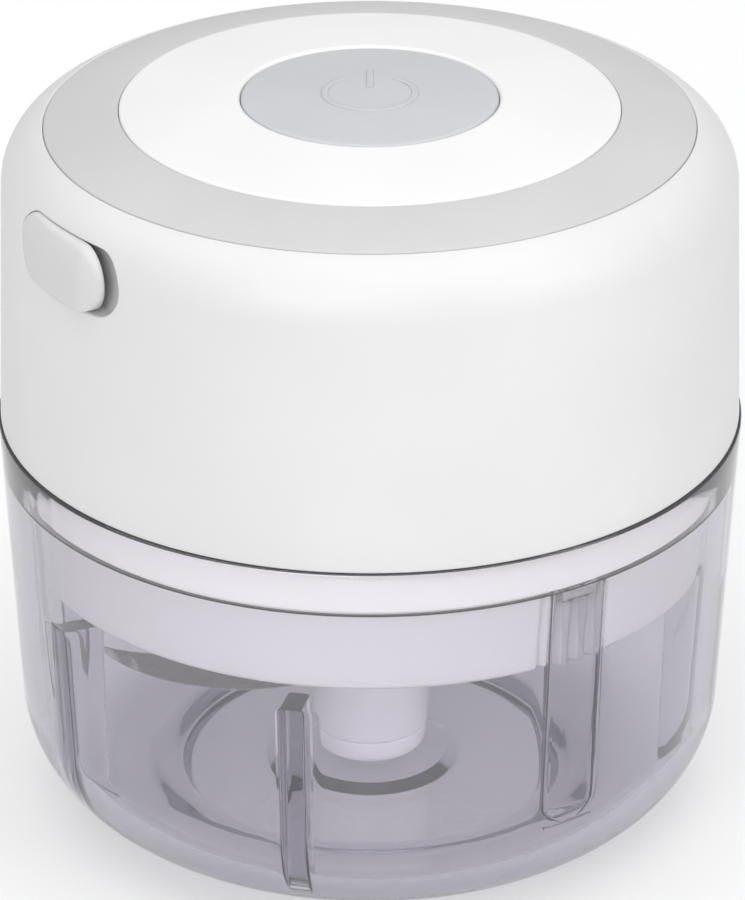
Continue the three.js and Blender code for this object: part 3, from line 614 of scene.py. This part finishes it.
# one sickle wing, ground to a cutting edge on its outer side, on the ring that clamps it in the hub
def makeBlade(node, turn):
    shape = bladeShape
    low, high = lowOf(node)[2], highOf(node)[2]

    def edgeEnds(rootAngle, pulls):
        ends = [(shape["root"], rootAngle), *pulls, (shape["tipRadius"], shape["tipAngle"])]
        return [polar(radius, angle + turn) for radius, angle in ends]

    outer = edgeEnds(shape["rootStart"], shape["outerPull"])
    inner = edgeEnds(shape["rootEnd"], reversed(shape["innerPull"]))
    lip = low + min(shape["edge"], (high - low) / 2)
    points = []
    for share in spread(0, 1, shape["steps"]):
        sharp, blunt = bezier(outer, share), bezier(inner, share)
        width = (blunt - sharp).length
        across = (blunt - sharp) / width if width > 1e-6 else Vector((0, 0))
        ground = sharp + across * min(shape["bevel"], width * 0.45)
        back = blunt - across * min(0.15, width * 0.1)
        section = [(sharp, low), (sharp, lip), (ground, high), (back, high), (blunt, high - 0.1),
                   (blunt, low + 0.1), (back, low)]
        points += [(*at, height) for at, height in section]
    sides = len(section)
    faces = joinRings(shape["steps"] + 1, sides)
    faces += [tuple(range(sides)), tuple(range(len(points) - sides, len(points)))]
    ring = softened([
        (shape["hole"], low, 0),
        (shape["ring"], low, 0.1),
        (shape["ring"], high, 0.1),
        (shape["hole"], high, 0),
    ], 2)
    ringPoints, ringFaces = turned(ring, smallSegments, True)
    faces += [tuple(index + len(points) for index in face) for face in ringFaces]
    addPiece(node + "_wing", points + ringPoints, faces, "ground_stainless_steel", "blade_set",
             "blade_steel", [node])


makeBlade("blade_lower", 0)
makeBlade("blade_upper", 180)
print("blade set made")

# the drive coupler that drops into the hub's socket, and the rubber lip round it
couplerShape = {"flats": 7.2, "collar": 4.3, "lead": 1.2, "neck": 31.9, "tip": 2.6, "sealLip": 4.45}


def makeCoupler():
    shape = couplerShape
    low, high = lowOf("drive_coupler")[2], highOf("drive_coupler")[2]
    flats, neck, collar = shape["flats"], shape["neck"], shape["collar"]
    rows = [
        (0, low, False),
        (shape["tip"], low, False),
        (flats - 1.1, low + 0.15, True),
        (flats - 0.4, low + 0.55, True),
        (flats, low + shape["lead"], True),
        (flats, neck - 0.3, True),
        (flats + 0.5, neck, True),
    ]
    rows += [(*at, False) for at in softened([
        (collar - 0.2, neck, 0),
        (collar, neck + 0.1, 0.1),
        (collar, high, 0.3),
        (0, high, 0),
    ])]
    addPiece("hex_coupler", *turnedHex(rows), "natural_nylon", "rotor", "nylon", ["drive_coupler"])
    lip, outer = shape["sealLip"], highOf("shaft_seal")[0]
    sealLow, sealHigh = lowOf("shaft_seal")[2], highOf("shaft_seal")[2]
    lipOutline = softened([
        (lip, sealLow + 0.2, 0.15),
        (lip + 0.3, sealLow - 0.1, 0.1),
        (outer - 0.7, sealLow + 0.5, 0.2),
        (outer, sealLow, 0.2),
        (outer, sealHigh, 0.2),
        (lip + 0.4, sealHigh, 0.2),
        (lip, sealHigh - 0.5, 0.1),
    ], 3)
    addPiece("lip_seal", *turned(lipOutline, hexSegments, True), "black_nitrile_rubber", "head",
             "seal_rubber", ["shaft_seal"])


makeCoupler()

washerLow, washerHigh = lowOf("thrust_washer"), highOf("thrust_washer")
washerInner = pinRadius + 0.3
addPiece("pin_washer", *turned(softened([
    (washerInner, washerLow[2] + 0.3, 0),
    (washerInner, washerLow[2], 0.1),
    (washerHigh[0], washerLow[2], 0.15),
    (washerHigh[0], washerHigh[2], 0.15),
    (washerInner, washerHigh[2], 0.1),
], 2), smallSegments, True), "ground_stainless_steel", "bowl", "blade_steel", ["thrust_washer"])

# the head's outside: a dome, a trim ring that steepens outwards, a rounded shoulder and a drafted wall
headShape = {
    "radius": highOf("top_housing")[0], "bottom": lowOf("top_housing")[2], "draft": 0.0365,
    "domeRadius": 260.0, "top": 88.75, "ringOuter": highOf("accent_ring")[0], "ringInner": 28.8,
    "ringSlope": 17.0, "bottomDrop": 0.26, "bottomRound": 0.25, "wall": 2.4, "seat": 83.0,
    "seatInner": 25.0, "seatThickness": 2.2, "bandInner": 37.2, "bandLow": 68.0, "seam": 0.06,
    "trimRound": 0.2,
}


def domeHeight(radius):
    dome = headShape["domeRadius"]
    return headShape["top"] - dome + sqrt(dome ** 2 - radius ** 2)


domeSlope = asin(headShape["ringInner"] / headShape["domeRadius"])
ringSlope = radians(headShape["ringSlope"])
ringArc = (headShape["ringOuter"] - headShape["ringInner"]) / (sin(ringSlope) - sin(domeSlope))
ringCentre = (headShape["ringInner"] - ringArc * sin(domeSlope),
              domeHeight(headShape["ringInner"]) - ringArc * cos(domeSlope))


def ringHeight(radius):
    return ringCentre[1] + sqrt(ringArc ** 2 - (radius - ringCentre[0]) ** 2)


ringEdge = ringHeight(headShape["ringOuter"])
leanOfWall = atan(headShape["draft"])
wallAtRing = headShape["radius"] - headShape["draft"] * (ringEdge - headShape["bottom"])
shoulder = (wallAtRing - headShape["ringOuter"]) / (
    cos(leanOfWall) - sin(ringSlope) - headShape["draft"] * (cos(ringSlope) - sin(leanOfWall)))
shoulderCentre = (headShape["ringOuter"] - shoulder * sin(ringSlope), ringEdge - shoulder * cos(ringSlope))
shoulderStart = shoulderCentre[1] + shoulder * sin(leanOfWall)


def headRadius(height):
    if height <= shoulderStart:
        return headShape["radius"] - headShape["draft"] * (height - headShape["bottom"])
    return shoulderCentre[0] + sqrt(shoulder ** 2 - (height - shoulderCentre[1]) ** 2)


# a stadium outline: `share` of the way round from the middle of its +Y end, and `grow` outside it
def stadiumPoint(share, length, tall, grow=0.0, middle=(0.0, 0.0)):
    radius, straight = tall / 2, (length - tall) / 2
    bend, run = pi * radius, 2 * straight
    along = (share % 1) * 2 * (bend + run)
    reach = radius + grow
    if bend / 2 <= along < bend / 2 + run:
        return middle[0] + straight + bend / 2 - along, middle[1] + reach
    if 1.5 * bend + run <= along < 1.5 * bend + 2 * run:
        return middle[0] - straight + along - 1.5 * bend - run, middle[1] - reach
    if along < bend / 2:
        turn, end = along / radius, straight
    elif along < 1.5 * bend + run:
        turn, end = (along - run) / radius, -straight
    else:
        turn, end = (along - 2 * run) / radius, straight
    return middle[0] + end + reach * cos(turn), middle[1] + reach * sin(turn)


portShape = {
    "height": 78.3, "middle": -0.6, "length": 17.5, "tall": 7.6, "notch": 2.0, "margin": 0.06,
    "floor": 39.5, "fillet": 0.3, "mouthLength": 9.5, "mouthTall": 3.8, "mouthDepth": 1.6,
    "windowLow": 72.2, "windowHigh": 84.4, "windowRows": 24, "windowHalf": 10, "blend": 5,
}


# the rows and columns at the edge of the window in the wall, as (angle, height), once round it
def windowBorder(port):
    heights = spread(port["windowLow"], port["windowHigh"], port["windowRows"])
    half, middleRow = port["windowHalf"], port["windowRows"] // 2
    columns = [pi + 2 * pi * step / wallSegments for step in range(-half, half + 1)]
    border = [(columns[0], height) for height in heights[middleRow:]]
    border += [(column, heights[-1]) for column in columns[1:]]
    border += [(columns[-1], height) for height in reversed(heights[:-1])]
    border += [(column, heights[0]) for column in reversed(columns[:-1])]
    return border + [(columns[0], height) for height in heights[1:middleRow]]


# the recess for the port cover, fitted between a window in the turned wall and a stadium outline
def recessPatch():
    port = portShape
    border = windowBorder(port)
    count = len(border)
    size = (port["length"] + port["notch"] + 2 * port["margin"], port["tall"] + 2 * port["margin"])
    middle = (port["middle"] - port["notch"] / 2, port["height"])
    mouth = (port["mouthLength"], port["mouthTall"])
    mouthMiddle = (port["middle"], port["height"])

    def onWall(y, height):
        return -sqrt(headRadius(height) ** 2 - y ** 2)

    def stadium(grow, size=size, middle=middle):
        return [stadiumPoint(step / count, *size, grow, middle) for step in range(count)]

    rings = [[(headRadius(height) * cos(turn), headRadius(height) * sin(turn), height)
              for turn, height in border]]
    rim = stadium(port["fillet"])
    for blend in spread(0, 1, port["blend"])[1:]:
        ring = []
        for (turn, height), (y, z) in zip(border, rim):
            fromY = headRadius(height) * sin(turn)
            at = (fromY + (y - fromY) * blend, height + (z - height) * blend)
            ring.append((onWall(*at), *at))
        rings.append(ring)
    for tip in spread(0, 90, 5)[1:]:
        grow = port["fillet"] * (1 - sin(radians(tip)))
        sink = port["fillet"] * (1 - cos(radians(tip)))
        rings.append([(onWall(*at) + sink, *at) for at in stadium(grow)])
    floorX = -port["floor"]
    for grow, x in [(0, floorX - 0.15), (-0.04, floorX - 0.05), (-0.15, floorX)]:
        rings.append([(x, *at) for at in stadium(grow)])
    for grow, x in [(0.25, floorX), (0.05, floorX + 0.06), (0, floorX + 0.25),
                    (0, floorX + port["mouthDepth"])]:
        rings.append([(x, *at) for at in stadium(grow, mouth, mouthMiddle)])
    points = [point for ring in rings for point in ring]
    faces = joinRings(len(rings), count) + [tuple(range(len(points) - count, len(points)))]
    return points, faces


def makeHousing():
    shape, port = headShape, portShape
    bottom = shape["bottom"] - shape["bottomDrop"]
    inside = shape["radius"] - shape["wall"]
    seat, seatUnder = shape["seat"], shape["seat"] - shape["seatThickness"]
    plain = bottom + 4
    outline = softened([
        (inside, bottom + 3, 0),
        (inside, bottom, 0.3),
        (shape["radius"], bottom, shape["bottomRound"]),
        (headRadius(plain), plain, 0),
    ])
    heights = spread(plain, port["windowLow"], 4)[1:-1]
    firstRow = len(outline) + len(heights)
    heights += spread(port["windowLow"], port["windowHigh"], port["windowRows"])
    heights += spread(port["windowHigh"], ringEdge - 0.12, 5)[1:]
    outline += [(headRadius(height), height) for height in heights]
    seamRadius = shape["ringOuter"] + shape["seam"]
    outline += softened([
        (headRadius(ringEdge - 0.1), ringEdge - 0.1, 0),
        (seamRadius, ringEdge + 0.02, 0.18),
        (seamRadius, seat, 0),
        (shape["seatInner"], seat, 0.3),
        (shape["seatInner"], seatUnder, 0.3),
        (shape["bandInner"] - 2, seatUnder, 0),
        (shape["bandInner"], seat - 4, 0),
        (shape["bandInner"], shape["bandLow"], 0),
        (inside - 0.4, shape["bandLow"] - 3, 0),
    ])[1:]
    points, faces = turned(outline, wallSegments, True)
    half = port["windowHalf"]
    firstColumn = wallSegments // 2 - half
    removed = {
        row * wallSegments + column
        for row in range(firstRow, firstRow + port["windowRows"])
        for column in range(firstColumn, firstColumn + 2 * half)
    }
    faces = [face for index, face in enumerate(faces) if index not in removed]
    patchPoints, patchFaces = recessPatch()
    faces += [tuple(index + len(points) for index in face) for face in patchFaces]
    # the housing takes the darker copy of the white ABS, with painted shade in its colour
    addPiece("housing_shell", points + patchPoints, faces, "satin_white_abs_painted_shade", "head", "white_abs",
             ["top_housing"], 50)


makeHousing()
print("housing made")


# the soft port cover, moulded to the wall's curve, with a thumb bevel on its free end
plugShape = {
    "rounding": 0.45, "bevelLength": 2.8, "bevelDepth": 1.0, "proud": 0.04, "back": 39.85, "count": 96,
    "padLength": 7.8, "padTall": 2.1, "padHeight": 0.45, "ajar": 4.6, "hinge": (-41.55, 7.6),
}


def makePlug():
    shape, port = plugShape, portShape
    length, tall, count = port["length"], port["tall"], shape["count"]
    middle = (port["middle"], port["height"])
    bevelStart = length / 2 - shape["bevelLength"] - port["middle"]

    def face(y, height):
        reach = max(0, -y - bevelStart) / shape["bevelLength"]
        wall = -sqrt(headRadius(height) ** 2 - y ** 2)
        return wall - shape["proud"] + shape["bevelDepth"] * reach ** 1.4

    def outline(grow, size=(length, tall)):
        return [stadiumPoint(step / count, *size, grow, middle) for step in range(count)]

    rings = []
    for grow in (-tall / 2, -3.2, -2.4, -1.8, -1.3, -0.9, -shape["rounding"]):
        rings.append([(face(*at), *at) for at in outline(grow)])
    for tip in spread(90, 0, 6)[1:]:
        grow = shape["rounding"] * (cos(radians(tip)) - 1)
        sink = shape["rounding"] * (1 - sin(radians(tip)))
        rings.append([(face(*at) + sink, *at) for at in outline(grow)])
    back = -shape["back"]
    for grow, x in [(0, back - 0.2), (-0.06, back - 0.06), (-0.2, back)]:
        rings.append([(x, *at) for at in outline(grow)])
    pad = (shape["padLength"], shape["padTall"])
    for grow, x in [(0.2, back), (0.04, back + 0.06), (0, back + 0.2),
                    (0, back + shape["padHeight"] - 0.1), (-0.1, back + shape["padHeight"])]:
        rings.append([(x, *at) for at in outline(grow, pad)])
    centre = Vector(shape["hinge"])
    swing = Matrix.Rotation(-radians(shape["ajar"]), 2)
    points = []
    for ring in rings:
        for x, y, z in ring:
            turned2d = centre + swing @ (Vector((x, y)) - centre)
            points.append((turned2d.x, turned2d.y, z))
    faces = joinRings(len(rings), count) + [tuple(range(len(points) - count, len(points)))]
    addPiece("port_cover", points, faces, "grey_tpe", "port_plug", "plug_rubber", ["port_plug"], 50)


makePlug()


# the charging socket in the recess: a drawn steel shell round a contact tongue
socketShape = {
    "length": 8.9, "tall": 3.2, "wall": 0.35, "front": 38.9, "depth": 6.5,
    "tongueLength": 6.6, "tongueTall": 0.75, "count": 64,
}


def makeSocket():
    shape, count = socketShape, socketShape["count"]
    middle = (portShape["middle"], portShape["height"])
    front, back = -shape["front"], -shape["front"] + shape["depth"]
    inner = -shape["wall"]
    shell = [(0, back), (0, front + 0.1), (-0.1, front), (inner + 0.08, front), (inner, front + 0.1),
             (inner, back - 1), (inner - 0.3, back - 0.8)]
    tongue = [(0, back - 0.9), (0, front + 0.9), (-0.12, front + 0.75)]
    for size, stops, *made in (
        ((shape["length"], shape["tall"]), shell,
         "socket_shell", "bright_nickel", "nickel", ["charge_socket"]),
        ((shape["tongueLength"], shape["tongueTall"]), tongue,
         "socket_tongue", "black_nylon", "black_plastic", []),
    ):
        name, finish, slotName, replaced = made
        points = [(x, *stadiumPoint(step / count, *size, grow, middle))
                  for grow, x in stops for step in range(count)]
        faces = joinRings(len(stops), count)
        faces += [tuple(range(count)), tuple(range(len(points) - count, len(points)))]
        addPiece(name, points, faces, finish, "head", slotName, replaced)


makeSocket()


def makeTrim():
    shape = headShape
    low = lowOf("accent_ring")[2]
    outer, inner, rounding = shape["ringOuter"], shape["ringInner"], shape["trimRound"]
    surface = [(radius, ringHeight(radius)) for radius in spread(outer - 0.5, inner + 0.5, 16)]
    outline = softened([
        (inner, low, 0),
        (outer, low, 0.2),
        (outer, ringHeight(outer), rounding),
        (*surface[0], 0),
    ])
    outline = outline[:-1] + surface + softened([
        (*surface[-1], 0),
        (inner, ringHeight(inner), rounding),
        (inner, low + 1, 0),
    ])[1:]
    addPiece("trim_ring", *turned(outline, topSegments, True), "grey_soft_touch_trim", "head", "grey_trim",
             ["accent_ring"], 60)


makeTrim()

# the disc inside the trim, with the collar the button slides in
capShape = {
    "collar": 14.88, "collarWall": 1.3, "collarBottom": 82.8, "collarRound": 0.5,
    "under": 84.6, "rimWall": 1.8, "foot": 0.3, "rise": 0.06, "rounding": 0.28,
}


def makeCap():
    shape = capShape
    outer, inner = headShape["ringInner"] - headShape["seam"], shape["collar"]
    foot = headShape["seat"] + shape["foot"]

    def top(radius):
        return domeHeight(radius) + shape["rise"]

    surface = [(radius, top(radius)) for radius in spread(outer - 0.6, inner + 0.9, 20)]
    outline = softened([
        (inner, shape["collarBottom"], 0),
        (inner + shape["collarWall"], shape["collarBottom"], 0.2),
        (inner + shape["collarWall"], shape["under"], 0.3),
        (outer - shape["rimWall"], shape["under"], 0.3),
        (outer - shape["rimWall"], foot, 0.2),
        (outer, foot, 0.2),
        (outer, top(outer), shape["rounding"]),
        (*surface[0], 0),
    ])
    outline = outline[:-1] + surface + softened([
        (*surface[-1], 0),
        (inner, top(inner), shape["collarRound"]),
        (inner, domeHeight(inner) - 2, 0),
    ])[1:]
    addPiece("centre_disc", *turned(outline, topSegments, True), "white_abs_disc", "head", "white_abs",
             ["top_cap"], 60)


makeCap()

# the soft button, a shallow dome level with the disc, with a moulded on/off symbol
buttonShape = {
    "radius": highOf("power_button")[0], "skirt": 83.6, "wall": 1.4, "under": 85.6, "stem": 2.6,
    "edge": 0.45, "sink": 0.05, "symbolRadius": 5.2, "symbolWidth": 0.85, "symbolHeight": 0.14,
    "symbolGap": 34.0, "barFrom": 1.4, "barTo": 6.9, "symbolTurn": 34.0,
}


def buttonHeight(radius):
    return domeHeight(radius) - buttonShape["sink"]


def makeButton():
    shape = buttonShape
    radius, stem = shape["radius"], lowOf("power_button")[2]
    surface = [(reach, buttonHeight(reach)) for reach in spread(radius - 0.9, 0, 14)]
    inner = radius - shape["wall"]
    outline = softened([
        (0, stem, 0),
        (shape["stem"], stem, 0.2),
        (shape["stem"], shape["under"] + 0.3, 0.3),
        (inner, shape["under"], 0.3),
        (inner, shape["skirt"], 0.2),
        (radius, shape["skirt"], 0.2),
        (radius, buttonHeight(radius), shape["edge"]),
        (*surface[0], 0),
    ])
    addPiece("button_pad", *turned(outline[:-1] + surface), "blue_grey_silicone", "button", "grey_button",
             ["power_button"], 60)


makeButton()


# a raised band along a path on the button: rounded over, its sides sunk a little below the surface
def reliefBand(path):
    half, height = buttonShape["symbolWidth"] / 2, buttonShape["symbolHeight"]
    rise = [(half, -0.1), (half, 0), (half * 0.85, height * 0.7), (half * 0.55, height)]
    profile = [(-across, lift) for across, lift in rise] + rise[::-1]
    points = []
    for index, here in enumerate(path):
        before, after = path[max(0, index - 1)], path[min(len(path) - 1, index + 1)]
        along = (Vector(after) - Vector(before)).normalized()
        for across, lift in profile:
            x, y = here[0] - along.y * across, here[1] + along.x * across
            points.append((x, y, buttonHeight(sqrt(x * x + y * y)) + lift))
    width = len(profile)
    faces = joinRings(len(path), width)
    return points, faces + [tuple(range(width)), tuple(range(len(points) - width, len(points)))]


def makeSymbol():
    shape = buttonShape
    gap, turn = shape["symbolGap"], 90 - shape["symbolTurn"]
    ring = arcPoints((0, 0), shape["symbolRadius"], turn + gap, turn + 360 - gap, 48)
    bar = [polar(reach, turn) for reach in spread(shape["barFrom"], shape["barTo"], 6)]
    for name, path in (("symbol_ring", ring), ("symbol_bar", bar)):
        addPiece(name, *reliefBand(path), "blue_grey_silicone", "button", "grey_button")


makeSymbol()
print("top trim made")

# the cup under the head, with the keyway that passes the bowl's key rib
coverShape = {
    "bottom": lowOf("base_cover")[2], "bottomRadius": 39.5, "topRadius": 40.3, "step": 43.9,
    "flange": 41.5, "flangeTop": 49.5, "spigot": 40.7, "spigotRise": 4.5, "wall": 1.8, "hole": 6.7,
    "floor": 1.8, "keyDepth": 1.4, "keyHalf": 4.3, "edge": 0.7, "padInner": 10.5, "padStep": 0.35,
}


def makeCover():
    shape = coverShape
    bottom, floor = shape["bottom"], shape["bottom"] + shape["floor"]
    pad = bottom + shape["padStep"]
    bottomRadius, topRadius = shape["bottomRadius"], shape["topRadius"]
    step, flange, flangeTop = shape["step"], shape["flange"], shape["flangeTop"]
    wallTop = step - 0.6
    spigot, spigotTop = shape["spigot"], flangeTop + shape["spigotRise"]
    inward = 2 * shape["wall"] + 0.4

    # inside the keyway the wall and the bottom's edge step back by its depth
    def keyway(radius, height, pocket):
        lean = (topRadius - bottomRadius) * (height - bottom) / (wallTop - bottom)
        inner = bottomRadius + lean - shape["keyDepth"]
        return (inner, height, 1) if radius > inner else None

    under = softened([
        (shape["hole"], floor, 0),
        (shape["hole"], pad, 0.2),
        (shape["padInner"], pad, 0.3),
        (shape["padInner"] + 0.5, bottom, 0.3),
        (bottomRadius - 3, bottom, 0),
    ])
    wall = softened([
        (bottomRadius - 2.4, bottom, 0),
        (bottomRadius, bottom, shape["edge"]),
        (bottomRadius + 0.1, bottom + 3, 0),
        (topRadius, wallTop, 0.4),
        (flange - 0.3, step - 0.1, 0),
    ])
    above = softened([
        (flange - 0.2, step - 0.05, 0),
        (flange, step + 0.1, 0.1),
        (flange, flangeTop, 0.2),
        (spigot, flangeTop, 0.2),
        (spigot, spigotTop, 0.4),
        (spigot - shape["wall"], spigotTop, 0.4),
        (topRadius - inward, step, 1),
        (bottomRadius - inward, floor, 1),
        (shape["hole"], floor, 0),
    ])
    rows = [(*at, False) for at in under]
    rows += [(*at, True) for at in wall]
    rows += [(*at, False) for at in above]
    half = shape["keyHalf"]
    stations = mirrored([
        (0, 1, False), (half * 0.5, 1, False), (half - 0.35, 1, False), (half - 0.1, 0.95, False),
        (half, 0.8, False), (half + 0.03, 0.3, False), (half + 0.12, 0.1, False),
        (half + 0.3, 0.02, False), (half + 0.6, 0, False),
    ])
    points, faces = ribbed(rows, [{"angle": frontAngle, "stations": stations, "crest": keyway}])
    # the cup takes the lighter copy of the white ABS, with painted light in its colour for the light the
    # bowl's glass holds back
    addPiece("head_cup", points, faces, "white_abs_cover_painted_light", "head", "white_abs", ["base_cover"], 50)


makeCover()

# the CAD nodes that stay, out of sight inside the head, with what they are really made of
keptFinishes = {
    "sintered_bronze": ("hub_bush", "motor_bush_lower", "motor_bush_upper"),
    "ground_stainless_steel": ("blade_spacer", "motor_shaft"),
    "enamelled_copper": ("armature", "commutator"),
    "zinc_plated_steel": ("motor_can", "motor_bracket"),
    "black_nylon": ("motor_end_bell", "battery_cradle", "tact_switch", "switch_plunger", "interlock_sensor"),
    "dark_ferrite": ("field_magnet_1", "field_magnet_2"),
    "blue_pvc_sleeve": ("battery_cell",),
    "green_solder_mask": ("control_board",),
    "red_pvc_insulation": ("motor_lead_red", "battery_lead_red"),
    "black_pvc_insulation": ("motor_lead_black", "battery_lead_black"),
    "grey_pvc_insulation": ("sensor_lead",),
}
finishOfNode = {node: finish for finish, nodes in keptFinishes.items() for node in nodes}
for nodeName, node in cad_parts.items():
    finish = finishOfNode.get(nodeName, "zinc_plated_steel" if "screw" in nodeName else None)
    if finish and not node.hide_render:
        node.data.materials.clear()
        node.data.materials.append(finishes[finish])
print("kept nodes finished")


studio = {
    "world": 0.35, "floor": "#C4C4C4", "floorGlow": 0.36, "floorReach": 4.0, "floorDrop": 0.0002,
    "floorRoughness": 0.8, "lampAim": (0, 0, 0.05),
    "softboxes": (
        {"name": "overhead", "at": (0.0, 0.0, 1.2), "size": 1.8, "power": 15.0},
        {"name": "front_left", "at": (-1.15, -0.85, 0.7), "size": 0.9, "power": 10.4},
        {"name": "front_right", "at": (0.6, -1.25, 0.7), "size": 0.9, "power": 7.4},
    ),
}


def makeStudio():
    world = bpy.data.worlds.new("studio")
    world.use_nodes = True
    background = world.node_tree.nodes["Background"].inputs
    background["Color"].default_value = (1, 1, 1, 1)
    background["Strength"].default_value = studio["world"]
    bpy.context.scene.world = world
    for softbox in studio["softboxes"]:
        light = bpy.data.lights.new(softbox["name"], "AREA")
        light.size = softbox["size"]
        light.energy = softbox["power"]
        lamp = bpy.data.objects.new(softbox["name"], light)
        lamp.location = softbox["at"]
        back = Vector(softbox["at"]) - Vector(studio["lampAim"])
        lamp.rotation_euler = back.to_track_quat("Z", "Y").to_euler()
        bpy.context.scene.collection.objects.link(lamp)
    floorMesh = bpy.data.meshes.new("floor")
    reach = studio["floorReach"]
    corners = [(-reach, -reach, 0), (reach, -reach, 0), (reach, reach, 0), (-reach, reach, 0)]
    floorMesh.from_pydata(corners, [], [(0, 1, 2, 3)])
    material, tree = startMaterial("pale_floor")
    shader = addNode(
        tree, "ShaderNodeBsdfPrincipled",
        values={"Base Color": toLinear(studio["floor"]), "Roughness": studio["floorRoughness"],
                "Emission Color": (1, 1, 1, 1), "Emission Strength": studio["floorGlow"]})
    addNode(tree, "ShaderNodeOutputMaterial", links={"Surface": shader.outputs["BSDF"]})
    floorMesh.materials.append(material)
    floor = bpy.data.objects.new("floor", floorMesh)
    floor.location.z = -studio["floorDrop"]
    bpy.context.scene.collection.objects.link(floor)
    bpy.context.scene.view_settings.view_transform = "Standard"


makeStudio()
print("studio made")
